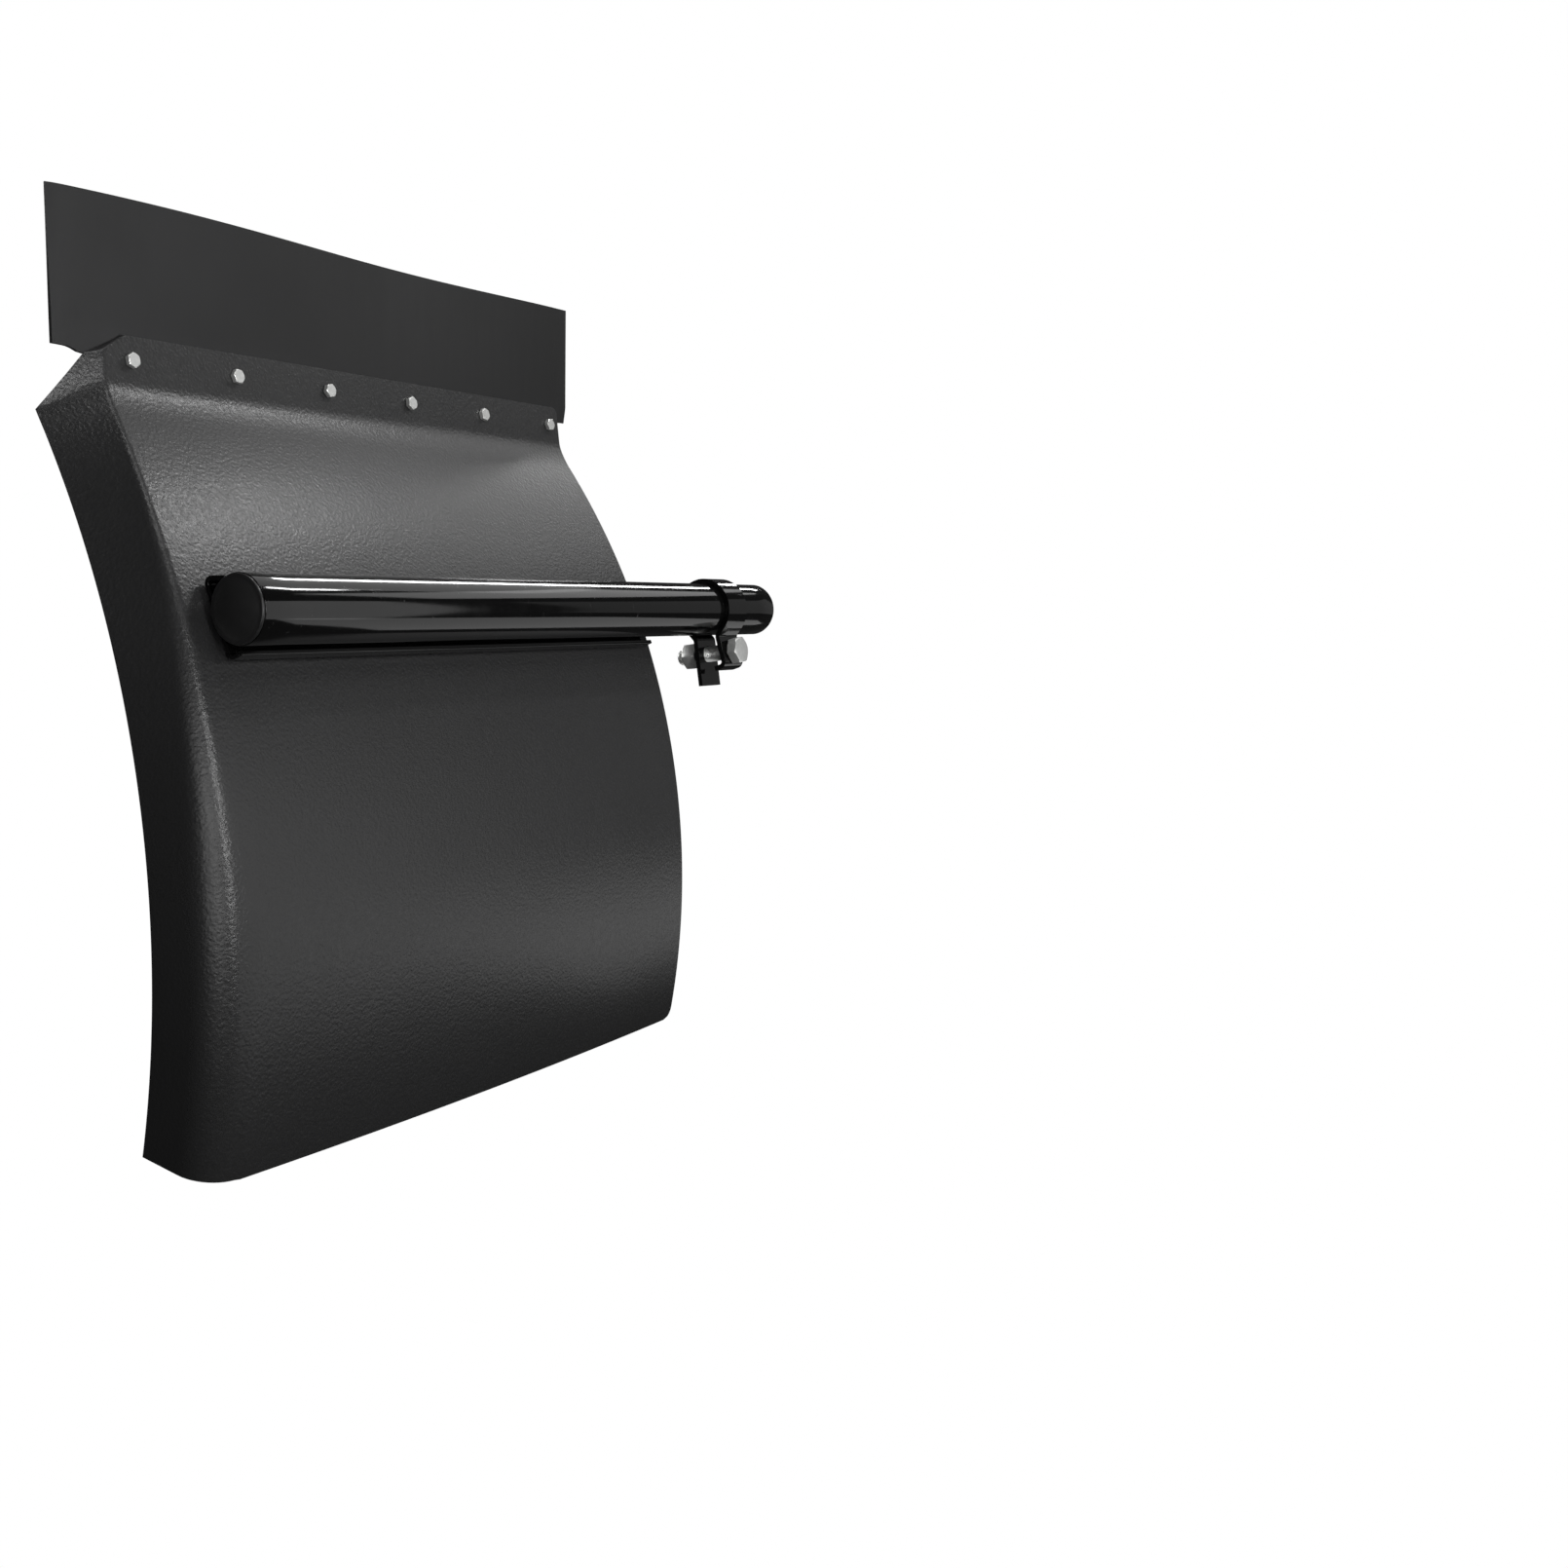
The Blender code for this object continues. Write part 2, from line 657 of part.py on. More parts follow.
def build_channel():
    """A bent channel: back plate on the shell, and two lips that turn forward to the tube."""
    depth = plate_depth()
    top = plate_point(depth, CHANNEL_TOP)
    bottom = plate_point(depth, CHANNEL_BOTTOM)
    lower_tip = bottom + PLATE_OUT * CHANNEL_LOWER_LIP
    path = rounded_path(
        [(CHANNEL_UPPER_LIP_Y, top.z), (top.y, top.z), (bottom.y, bottom.z), (lower_tip.y, lower_tip.z)],
        [CHANNEL_BEND_RADIUS, CHANNEL_BEND_RADIUS], 2,
    )
    channel = ribbon(
        "tube_channel", [tuple(p) for p in path], CHANNEL_OUTBOARD_X, CHANNEL_INBOARD_X, CHANNEL_THICK,
        PARTS, gloss_paint(),
    )
    for k, point in enumerate(carriage_places()):
        radius = M8["thread"] / 2 + HOLE_PLAY
        cutter = cutter_cylinder(f"cut_channel_{k + 1}", radius, 0.012, axis_matrix(point, PLATE_OUT))
        boolean(channel, cutter, "DIFFERENCE")
    return channel


# ---------------------------------------------------------------------------------------------- fasteners

def chamfer_cutter(name, size, height, ends):
    """A turned blank that leaves a hexagon's corners rounded over at one end or both."""
    corner = size["flats"] / sqrt(3) * 1.002
    flat = size["flats"] / 2 * 0.985
    fall = (corner - flat) * tan(radians(30))
    profile = [(0.0, height), (flat, height), (corner, height - fall)]
    if ends == 2:
        profile += [(corner, fall), (flat, 0.0)]
    else:
        profile += [(corner, 0.0)]
    profile += [(0.0, 0.0)]
    return turned(name, profile, CUTTERS, zinc_steel(), 24)


def hexagon(name, size, height, collection, ends=1):
    """A hexagonal head or nut blank standing on Z=0, corners chamfered."""
    mesh = cylinder_mesh(size["flats"] / sqrt(3), height, 6)
    bmesh.ops.translate(mesh, vec=(0.0, 0.0, height / 2), verts=mesh.verts)
    blank = object_from_bmesh(name, mesh, collection, zinc_steel())
    cutter = hide_cutter(chamfer_cutter(f"cut_{name}_chamfer", size, height, ends))
    boolean(blank, cutter, "INTERSECT")
    return blank


def place_copies(source, names, matrices):
    """Makes the source the first named object and gives each other name a copy that shares its mesh."""
    for k, (name, matrix) in enumerate(zip(names, matrices)):
        obj = source if k == 0 else source.copy()
        if k:
            PARTS.objects.link(obj)
        obj.name = name
        obj.matrix_world = matrix


def hex_bolt(name, size, length, tip=0.0006, segments=16):
    """A hex bolt whose head stands on Z=0 and whose shank runs down to -length, ended by a small chamfer."""
    head = hexagon(name, size, size["head"], PARTS)
    radius = size["thread"] / 2
    top = size["head"] / 2
    profile = [(0.0, top), (radius, top), (radius, -length + tip), (radius - tip, -length), (0.0, -length)]
    shank = turned(f"cut_{name}_shank", profile, CUTTERS, zinc_steel(), segments)
    hide_cutter(shank)
    boolean(head, shank, "UNION")
    return evaluated_copy(head, PARTS)


def plain_washer(name, size, segments=24):
    """A flat washer that stands on Z=0."""
    outer, thickness = size["washer"]
    inner = size["thread"] / 2 + HOLE_PLAY
    profile = [(outer / 2, thickness), (outer / 2, 0.0), (inner, 0.0), (inner, thickness)]
    return evaluated_copy(turned(name, profile, PARTS, zinc_steel(), segments), PARTS)


def hex_nut(name, size):
    """A hex nut that stands on Z=0, bored clear of its bolt."""
    blank = hexagon(name, size, size["nut"], PARTS, 2)
    bore = size["thread"] / 2 + HOLE_PLAY
    cutter = cutter_cylinder(f"cut_{name}_bore", bore, 0.05, Matrix.Identity(4), 16)
    boolean(blank, cutter, "DIFFERENCE")
    return evaluated_copy(blank, PARTS)


def build_flange_fasteners():
    """Six hex screws through flange, rubber and strip, each with a washer and a nut behind."""
    places = screw_places()
    spins = [radians(17 * k + 5) for k in range(SCREW_COUNT)]
    stack = WALL + RUBBER + STRIP_THICK + 3 * GAP
    washer_at = stack
    nut_at = washer_at + M6["washer"][1] + GAP
    length = nut_at + M6["nut"] + 0.0015
    numbers = range(1, SCREW_COUNT + 1)
    bolt = hex_bolt("flange_screw_1", M6, length + GAP, segments=12)
    place_copies(
        bolt,
        [f"flange_screw_{k}" for k in numbers],
        [axis_matrix(p + FLANGE_OUT * GAP, FLANGE_OUT, s) for p, s in zip(places, spins)],
    )
    washer = plain_washer("flange_washer_1", M6, 16)
    place_copies(
        washer,
        [f"flange_washer_{k}" for k in numbers],
        [axis_matrix(p - FLANGE_OUT * washer_at, -FLANGE_OUT) for p in places],
    )
    nut = hex_nut("flange_nut_1", M6)
    place_copies(
        nut,
        [f"flange_nut_{k}" for k in numbers],
        [axis_matrix(p - FLANGE_OUT * nut_at, -FLANGE_OUT, s * 1.7) for p, s in zip(places, spins)],
    )


def carriage_bolt(name, length):
    """A bolt with a low domed head that stands on Z=0."""
    radius = M8["thread"] / 2
    head = CARRIAGE_HEAD_RADIUS
    dome = (head ** 2 + M8["head"] ** 2) / (2 * M8["head"])
    widest = asin(min(1.0, head / dome))
    profile = []
    for i in range(5):
        angle = widest * i / 4
        profile.append((dome * sin(angle), dome * cos(angle) - dome + M8["head"]))
    profile[0] = (0.0, M8["head"])
    profile[-1] = (head, 0.0006)
    profile += [(head - 0.0004, 0.0), (radius, 0.0), (radius, -length), (0.0, -length)]
    return evaluated_copy(turned(name, profile, PARTS, zinc_steel(), 16), PARTS)


def build_channel_fasteners():
    """Four carriage bolts through channel and shell, with wide washers and nuts inside the shell."""
    places = carriage_places()
    numbers = range(1, CARRIAGE_BOLT_COUNT + 1)
    out = PLATE_OUT
    head_at = CHANNEL_THICK / 2 + GAP
    washer_at = CHANNEL_THICK / 2 + GAP + WALL + SHELL_SAG
    nut_at = washer_at + M8["washer"][1] + GAP
    bolt = carriage_bolt("channel_bolt_1", head_at + nut_at + M8["nut"] + 0.003)
    place_copies(
        bolt,
        [f"channel_bolt_{k}" for k in numbers],
        [axis_matrix(p + out * head_at, out) for p in places],
    )
    washer = plain_washer("channel_washer_1", M8)
    place_copies(
        washer,
        [f"channel_washer_{k}" for k in numbers],
        [axis_matrix(p - out * washer_at, -out) for p in places],
    )
    nut = hex_nut("channel_nut_1", M8)
    place_copies(
        nut,
        [f"channel_nut_{k}" for k in numbers],
        [axis_matrix(p - out * nut_at, -out, radians(23 * k)) for k, p in enumerate(places)],
    )


# ---------------------------------------------------------------------------------------------- clamp

def strap_path():
    """The strap's middle line: a curled front leg, round the tube, and a long straight back leg."""
    radius = TUBE_RADIUS + GAP + STRAP_THICK / 2
    front_leave = radians(40)
    back_leave = radians(48)
    steps = 26
    around = []
    for i in range(steps + 1):
        angle = front_leave + (2 * pi - front_leave - back_leave) * i / steps
        around.append((-radius * sin(angle), -radius * cos(angle)))
    front = rounded_path(FRONT_LEG + [around[0]], FRONT_LEG_RADII, 4)
    back = rounded_path([around[-1], (BACK_LEG_Y, STRAP_KNEE), (BACK_LEG_Y, TAB_TOP)], [0.005], 4)
    back.append(Vector((BACK_LEG_Y, BACK_LEG_BOTTOM)))
    points = [tuple(p) for p in front[:-1]] + around + [tuple(p) for p in back[1:]]
    return points


def clamp_matrix():
    """Swings a clamp drawn with its legs straight down forward about the tube."""
    return Matrix.Rotation(-CLAMP_SWING, 4, "X")


def clamp_bolt_frame(y):
    """A frame on the clamp bolt's axis, whose Z axis runs forward to the bolt's head."""
    forward = Matrix.Rotation(pi / 2, 4, "X")
    return clamp_matrix() @ Matrix.Translation((0.0, y, -CLAMP_BOLT_DROP)) @ forward


def build_strap():
    half = STRAP_WIDTH / 2
    strap = ribbon("clamp_strap", strap_path(), -half, half, STRAP_THICK, PARTS, gloss_paint())
    strap = evaluated_copy(strap, PARTS)
    strap.matrix_world = clamp_matrix()
    cutter = cutter_cylinder("cut_strap_bolt", CLAMP_HOLE_RADIUS, 0.09, clamp_bolt_frame(0.0), 24)
    boolean(strap, cutter, "DIFFERENCE")
    return strap


def build_clamp_fasteners():
    """The clamp's bolt through both legs, a split lock washer and a nut behind the back leg."""
    bolt = hex_bolt("clamp_bolt", M16, CLAMP_BOLT_TAIL_Y - CLAMP_HEAD_Y, 0.0015, 24)
    bolt.matrix_world = clamp_bolt_frame(CLAMP_HEAD_Y) @ Matrix.Rotation(radians(38), 4, "Z")
    washer_y = BACK_LEG_Y + STRAP_THICK / 2 + GAP
    thickness = M16["washer"][1]
    washer = plain_washer("clamp_lock_washer", M16, 32)
    washer.matrix_world = clamp_bolt_frame(washer_y + thickness)
    split = bmesh.new()
    bmesh.ops.create_cube(split, size=1.0)
    bmesh.ops.scale(split, vec=(SPLIT_GAP, 0.012, 0.02), verts=split.verts)
    slit = hide_cutter(object_from_bmesh("cut_washer_split", split, CUTTERS))
    slit_place = Matrix.Translation((0.0, 0.0108, thickness / 2)) @ Matrix.Rotation(radians(25), 4, "Y")
    slit.matrix_world = washer.matrix_world @ Matrix.Rotation(radians(200), 4, "Z") @ slit_place
    boolean(washer, slit, "DIFFERENCE")
    nut = hex_nut("clamp_nut", M16)
    nut_y = washer_y + thickness + GAP
    nut.matrix_world = clamp_bolt_frame(nut_y + M16["nut"]) @ Matrix.Rotation(radians(30), 4, "Z")


# ---------------------------------------------------------------------------------------------- assembly

clear_scene()
PARTS = new_collection("mud_flap")
CUTTERS = new_collection("cutters")
build_shell()
build_rubber()
build_tube()
build_channel()
build_flange_fasteners()
build_channel_fasteners()
build_strap()
build_clamp_fasteners()
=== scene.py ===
from math import acos, asin, atan2, cos, exp, hypot, pi, radians, sin, sqrt, tan

import bmesh
import bpy
from mathutils import Matrix, Vector


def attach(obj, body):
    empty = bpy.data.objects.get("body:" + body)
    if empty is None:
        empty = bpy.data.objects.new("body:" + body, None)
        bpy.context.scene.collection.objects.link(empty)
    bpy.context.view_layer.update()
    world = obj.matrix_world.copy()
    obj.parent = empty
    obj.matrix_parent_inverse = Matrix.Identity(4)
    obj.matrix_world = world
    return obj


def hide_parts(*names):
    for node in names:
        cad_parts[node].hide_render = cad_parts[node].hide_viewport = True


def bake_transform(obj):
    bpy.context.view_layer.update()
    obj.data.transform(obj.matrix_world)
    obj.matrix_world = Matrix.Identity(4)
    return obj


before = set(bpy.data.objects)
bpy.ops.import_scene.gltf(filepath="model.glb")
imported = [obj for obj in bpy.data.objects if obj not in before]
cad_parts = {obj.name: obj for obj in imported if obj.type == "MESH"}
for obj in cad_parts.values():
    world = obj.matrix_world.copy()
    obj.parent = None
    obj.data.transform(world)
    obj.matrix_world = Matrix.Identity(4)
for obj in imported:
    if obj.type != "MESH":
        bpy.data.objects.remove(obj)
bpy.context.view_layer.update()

SCENE = bpy.context.scene
GAP = 0.0003

# ------------------------------------------------------------------------------- dimensions, metres
WALL = 0.0032
FACE_RADIUS = 0.659
FACE_CENTRE = Vector((0.0, 0.641, -0.2515))
FACE_LOW_ANGLE = radians(-12.6)
FACE_HIGH_ANGLE = radians(37.2)
CROWN = 0.006
SHELL_INBOARD_X = -0.087
SHELL_EDGE_ROUND = 0.0014
LOW_CORNER_RADIUS = 0.011
TOP_CORNER_RADIUS = 0.006
THINNEST_SKIRT = 0.0004
RIDGE_TOP_X = -0.627
RIDGE_LOW_RADIUS = 0.040
RIDGE_TOP_RADIUS = 0.009
SKIRT_X = -0.672
SKIRT_RADIUS = 0.744
SKIRT_CENTRE = Vector((0.0, 0.788, -0.227))
SKIRT_HIGH_ANGLE = radians(37.8)

FLANGE_BASE = Vector((0.0, 0.1196, 0.153))
FLANGE_LEAN = radians(6.3)
FLANGE_HEIGHT = 0.0428
FLANGE_CHAMFER_START = 0.028
FLANGE_CHAMFER_RUN = 0.020
FLANGE_UP = Vector((0.0, sin(FLANGE_LEAN), cos(FLANGE_LEAN)))
FLANGE_OUT = Vector((0.0, -cos(FLANGE_LEAN), sin(FLANGE_LEAN)))
SCREW_UP = 0.0248
SCREW_FIRST_X = -0.603
SCREW_PITCH = 0.1
SCREW_COUNT = 6

RUBBER = 0.003
SHEET_LEFT = -0.668
SHEET_RIGHT = -0.0715
SHEET_TOP = 0.2905
SHOULDER_Z = 0.182
TONGUE_LEFT = -0.6225
TONGUE_RIGHT = -0.0885
TONGUE_LOW = 0.164
FLANGE_TOP_Z = 0.1965

STRIP_LOW_X = -0.618
STRIP_HIGH_X = -0.092
STRIP_HALF_HEIGHT = 0.0125
STRIP_THICK = 0.003
SCREW_HOLE_RADIUS = 0.0034

TUBE_RADIUS = 0.0254
TUBE_WALL = 0.003
TUBE_LOW_X = -0.625
TUBE_HIGH_X = 0.080
CAP_RADIUS = 0.0248
CAP_DOME = 0.0045
CAP_PLUG_LENGTH = 0.016
CHANNEL_THICK = 0.0035
CHANNEL_LOW_X = -0.620
CHANNEL_HIGH_X = -0.104
CHANNEL_TOP = 0.0339
CHANNEL_BOTTOM = -0.0265
CHANNEL_LOWER_LIP = 0.0125
CHANNEL_UPPER_LIP_Y = 0.0180
CHANNEL_BEND_RADIUS = 0.0042
TUBE_TO_FACE = hypot(FACE_CENTRE.y, FACE_CENTRE.z) - FACE_RADIUS
PLATE_TILT = atan2(-FACE_CENTRE.z, FACE_CENTRE.y)
PLATE_OUT = Vector((0.0, -cos(PLATE_TILT), sin(PLATE_TILT)))
PLATE_UP = Vector((0.0, sin(PLATE_TILT), cos(PLATE_TILT)))
PLATE_DEPTH = TUBE_TO_FACE - 2 * GAP - CHANNEL_THICK / 2

# Each size's washer is its outside diameter and thickness.
M6 = {
    "thread": 0.006, "pitch": 0.001, "flats": 0.010, "head": 0.004, "nut": 0.005,
    "washer": (0.012, 0.0016),
}
M8 = {
    "thread": 0.008, "pitch": 0.00125, "flats": 0.013, "head": 0.0042, "nut": 0.0065,
    "washer": (0.024, 0.002),
}
M16 = {
    "thread": 0.0158, "pitch": 0.002, "flats": 0.024, "head": 0.010, "nut": 0.0146,
    "washer": (0.026, 0.004),
}
HOLE_PLAY = 0.0004
CARRIAGE_COUNT = 4
CARRIAGE_INSET = 0.050
CARRIAGE_UP = 0.0195
CARRIAGE_HEAD_RADIUS = 0.0085

STRAP_THICK = 0.0045
STRAP_WIDTH = 0.034
FRONT_LEAVE = radians(40)
BACK_LEAVE = radians(48)
FRONT_LEG = [(-0.0055, -0.0592), (-0.0168, -0.0572), (-0.0122, -0.0275)]
FRONT_LEG_RADII = [0.005, 0.006]
BACK_LEG_BEND = -0.0285
BACK_LEG_RADIUS = 0.005
CLAMP_HOLE_RADIUS = M16["thread"] / 2 + 0.0006
CLAMP_SWING = radians(7.6)
CLAMP_BOLT_DROP = 0.0435
CLAMP_HEAD_Y = -0.0189
BACK_LEG_Y = 0.0130
BACK_LEG_BOTTOM = -0.0745
CLAMP_BOLT_TAIL_Y = 0.0425

FLOOR_Z = -0.425
AMBIENT = 0.03
OBJECT_MIDDLE = (-0.35, 0.05, -0.05)


# ------------------------------------------------------------------------------------- mesh helpers

def new_object(name, mesh, finish, smooth_angle=35.0):
    """A piece made from a bmesh, which is freed."""
    data = bpy.data.meshes.new(name)
    bmesh.ops.recalc_face_normals(mesh, faces=mesh.faces)
    mesh.to_mesh(data)
    mesh.free()
    data.shade_smooth()
    data.set_sharp_from_angle(angle=radians(smooth_angle))
    obj = bpy.data.objects.new(name, data)
    SCENE.collection.objects.link(obj)
    if finish:
        data.materials.append(finish)
    return obj


def bevel(obj, width, segments=2, angle=40.0):
    modifier = obj.modifiers.new("Edges", "BEVEL")
    modifier.width = width
    modifier.segments = segments
    modifier.limit_method = "ANGLE"
    modifier.angle_limit = radians(angle)
    modifier.harden_normals = True
    modifier.use_clamp_overlap = True
    return modifier


def applied(obj):
    """The object with its modifiers made real."""
    bpy.context.view_layer.update()
    graph = bpy.context.evaluated_depsgraph_get()
    data = bpy.data.meshes.new_from_object(obj.evaluated_get(graph))
    obj.modifiers.clear()
    old = obj.data
    obj.data = data
    data.name = obj.name
    if old.users == 0:
        bpy.data.meshes.remove(old)
    return obj


def boolean(obj, cutter, operation="DIFFERENCE"):
    """Cuts or joins, applies the result and removes the cutter."""
    modifier = obj.modifiers.new("Cut", "BOOLEAN")
    modifier.operation = operation
    modifier.object = cutter
    modifier.solver = "EXACT"
    applied(obj)
    data = cutter.data
    bpy.data.objects.remove(cutter, do_unlink=True)
    bpy.data.meshes.remove(data)
    return obj


def cylinder(name, radius, depth, matrix, segments=32):
    mesh = bmesh.new()
    bmesh.ops.create_cone(mesh, cap_ends=True, segments=segments, radius1=radius, radius2=radius, depth=depth)
    obj = new_object(name, mesh, None)
    obj.matrix_world = matrix
    return obj


def turned_mesh(profile, steps):
    """A closed bmesh: (radius, height) points turned about Z. A profile starting off the axis is a ring."""
    mesh = bmesh.new()
    rings = []
    for radius, height in profile:
        if radius < 1e-7:
            rings.append([mesh.verts.new((0.0, 0.0, height))])
            continue
        ring = []
        for k in range(steps):
            angle = 2 * pi * k / steps
            ring.append(mesh.verts.new((radius * cos(angle), radius * sin(angle), height)))
        rings.append(ring)
    pairs = list(zip(rings, rings[1:]))
    if profile[0][0] > 1e-7:
        pairs.append((rings[-1], rings[0]))
    for a, b in pairs:
        for k in range(steps):
            n = (k + 1) % steps
            if len(a) == 1 and len(b) == 1:
                continue
            if len(a) == 1:
                mesh.faces.new((a[0], b[k], b[n]))
            elif len(b) == 1:
                mesh.faces.new((a[k], b[0], a[n]))
            else:
                mesh.faces.new((a[k], b[k], b[n], a[n]))
    return mesh


def turned(name, profile, finish, steps=64, smooth_angle=30.0):
    return new_object(name, turned_mesh(profile, steps), finish, smooth_angle)


def axis_matrix(point, direction, spin=0.0):
    """A frame at the point whose Z axis runs along the direction, its Y axis in the YZ plane."""
    z_axis = Vector(direction).normalized()
    x_axis = Vector((1.0, 0.0, 0.0))
    y_axis = z_axis.cross(x_axis).normalized()
    rotation = Matrix((x_axis, y_axis, z_axis)).transposed().to_4x4()
    return Matrix.Translation(point) @ rotation @ Matrix.Rotation(spin, 4, "Z")


def rounded_path(points, radii, steps=8):
    """An open path of (y, z) points with each inner corner turned into an arc of its radius."""
    path = [Vector(points[0])]
    for i in range(1, len(points) - 1):
        corner = Vector(points[i])
        before = (Vector(points[i - 1]) - corner).normalized()
        after = (Vector(points[i + 1]) - corner).normalized()
        half = acos(max(-1.0, min(1.0, before.dot(after)))) / 2
        radius = radii[i - 1]
        run = radius / tan(half)
        centre = corner + (before + after).normalized() * (radius / sin(half))
        start = corner + before * run - centre
        end = corner + after * run - centre
        turn = atan2(start.x * end.y - start.y * end.x, start.dot(end))
        for k in range(steps + 1):
            path.append(centre + Matrix.Rotation(turn * k / steps, 2) @ start)
    path.append(Vector(points[-1]))
    return path


def bar(name, path, x_low, x_high, thickness, finish, columns=1):
    """A bent flat bar along X: the (y, z) path thickened evenly to both sides."""
    mesh = bmesh.new()
    grid = []
    for i, point in enumerate(path):
        before = path[max(i - 1, 0)]
        after = path[min(i + 1, len(path) - 1)]
        along = (Vector(after) - Vector(before)).normalized()
        side = Vector((-along.y, along.x)) * thickness / 2
        row = []
        for way in (1.0, -1.0):
            spot = Vector(point) + side * way
            for c in range(columns + 1):
                x = x_low + (x_high - x_low) * c / columns
                row.append(mesh.verts.new((x, spot.x, spot.y)))
        grid.append(row)
    n = columns + 1
    for a, b in zip(grid, grid[1:]):
        for c in range(columns):
            mesh.faces.new((a[c], a[c + 1], b[c + 1], b[c]))
            mesh.faces.new((a[n + c], b[n + c], b[n + c + 1], a[n + c + 1]))
        mesh.faces.new((a[0], b[0], b[n], a[n]))
        mesh.faces.new((a[columns], a[n + columns], b[n + columns], b[columns]))
    for row, way in ((grid[0], 1), (grid[-1], -1)):
        for c in range(columns):
            corners = [row[c], row[n + c], row[n + c + 1], row[c + 1]]
            mesh.faces.new(corners[::way])
    return new_object(name, mesh, finish)


def seat(obj, body, slot, *nodes):
    """Rides the piece on its body in place of its CAD nodes."""
    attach(obj, body)
    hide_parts(*nodes)
    return obj


# ---------------------------------------------------------------------------------------- materials

class Nodes:
    """A short way to add and wire shader nodes."""

    def __init__(self, name):
        self.material = bpy.data.materials.new(name)
        self.material.use_nodes = True
        self.tree = self.material.node_tree
        self.shader = self.tree.nodes["Principled BSDF"]

    def add(self, kind, inputs=None, **settings):
        node = self.tree.nodes.new(kind)
        for key, value in settings.items():
            setattr(node, key, value)
        for key, value in (inputs or {}).items():
            self.put(node.inputs[key], value)
        return node

    def put(self, socket, value):
        if isinstance(value, bpy.types.NodeSocket):
            self.tree.links.new(value, socket)
        else:
            socket.default_value = value

    def places(self, scale=(1.0, 1.0, 1.0)):
        coordinates = self.add("ShaderNodeTexCoord")
        mapping = self.add("ShaderNodeMapping", {"Vector": coordinates.outputs["Object"], "Scale": scale})
        return mapping.outputs["Vector"]

    def noise(self, vector, scale, detail=2.0, rough=0.5):
        node = self.add("ShaderNodeTexNoise", {
            "Vector": vector, "Scale": scale, "Detail": detail, "Roughness": rough,
        })
        return node.outputs["Fac"]

    def remap(self, value, low, high, to_low, to_high):
        node = self.add("ShaderNodeMapRange", {
            "Value": value, "From Min": low, "From Max": high, "To Min": to_low, "To Max": to_high,
        })
        return node.outputs["Result"]

    def maths(self, operation, a, b=0.0):
        node = self.add("ShaderNodeMath", operation=operation)
        self.put(node.inputs[0], a)
        self.put(node.inputs[1], b)
        return node.outputs["Value"]

    def mix_colour(self, factor, a, b):
        node = self.add("ShaderNodeMix", data_type="RGBA")
        self.put(node.inputs["Factor"], factor)
        self.put(node.inputs[6], a)
        self.put(node.inputs[7], b)
        return node.outputs[2]

    def bump(self, height, strength, distance, normal=None):
        inputs = {"Height": height, "Strength": strength, "Distance": distance}
        if normal is not None:
            inputs["Normal"] = normal
        return self.add("ShaderNodeBump", inputs).outputs["Normal"]

    def finish(self, **values):
        for key, value in values.items():
            self.put(self.shader.inputs[key.replace("_", " ")], value)
        return self.material


def grey(value, alpha=1.0):
    return (value, value, value * 1.02, alpha)


def moulded_plastic():
    """Black vacuum-formed plastic with a leather grain."""
    n = Nodes("leather_grain_plastic")
    where = n.places()
    warp = n.add("ShaderNodeTexNoise", {"Vector": where, "Scale": 240.0, "Detail": 2.0})
    bent = n.add("ShaderNodeVectorMath", operation="MULTIPLY_ADD")
    n.put(bent.inputs[0], warp.outputs["Color"])
    bent.inputs[1].default_value = (0.0030, 0.0030, 0.0030)
    n.put(bent.inputs[2], where)
    cells = n.add("ShaderNodeTexVoronoi", {
        "Vector": bent.outputs["Vector"], "Scale": 400.0, "Smoothness": 0.8,
    }, feature="SMOOTH_F1")
    pebble = n.remap(cells.outputs["Distance"], 0.10, 0.75, 1.0, 0.0)
    fine = n.noise(where, 620.0, 2.0, 0.5)
    height = n.maths("ADD", n.maths("MULTIPLY", pebble, 0.75), n.maths("MULTIPLY", fine, 0.5))
    slow = n.noise(where, 14.0, 3.0, 0.55)
    colour = n.mix_colour(slow, grey(0.0200), grey(0.0240))
    rough = n.remap(n.noise(where, 260.0, 2.0), 0.3, 0.7, 0.30, 0.38)
    wave = n.bump(n.noise(where, 9.0, 2.0), 0.12, 0.006)
    return n.finish(
        Base_Color=colour, Roughness=rough, Normal=n.bump(height, 0.55, 0.00034, wave),
        IOR=1.5, Specular_IOR_Level=0.5,
    )


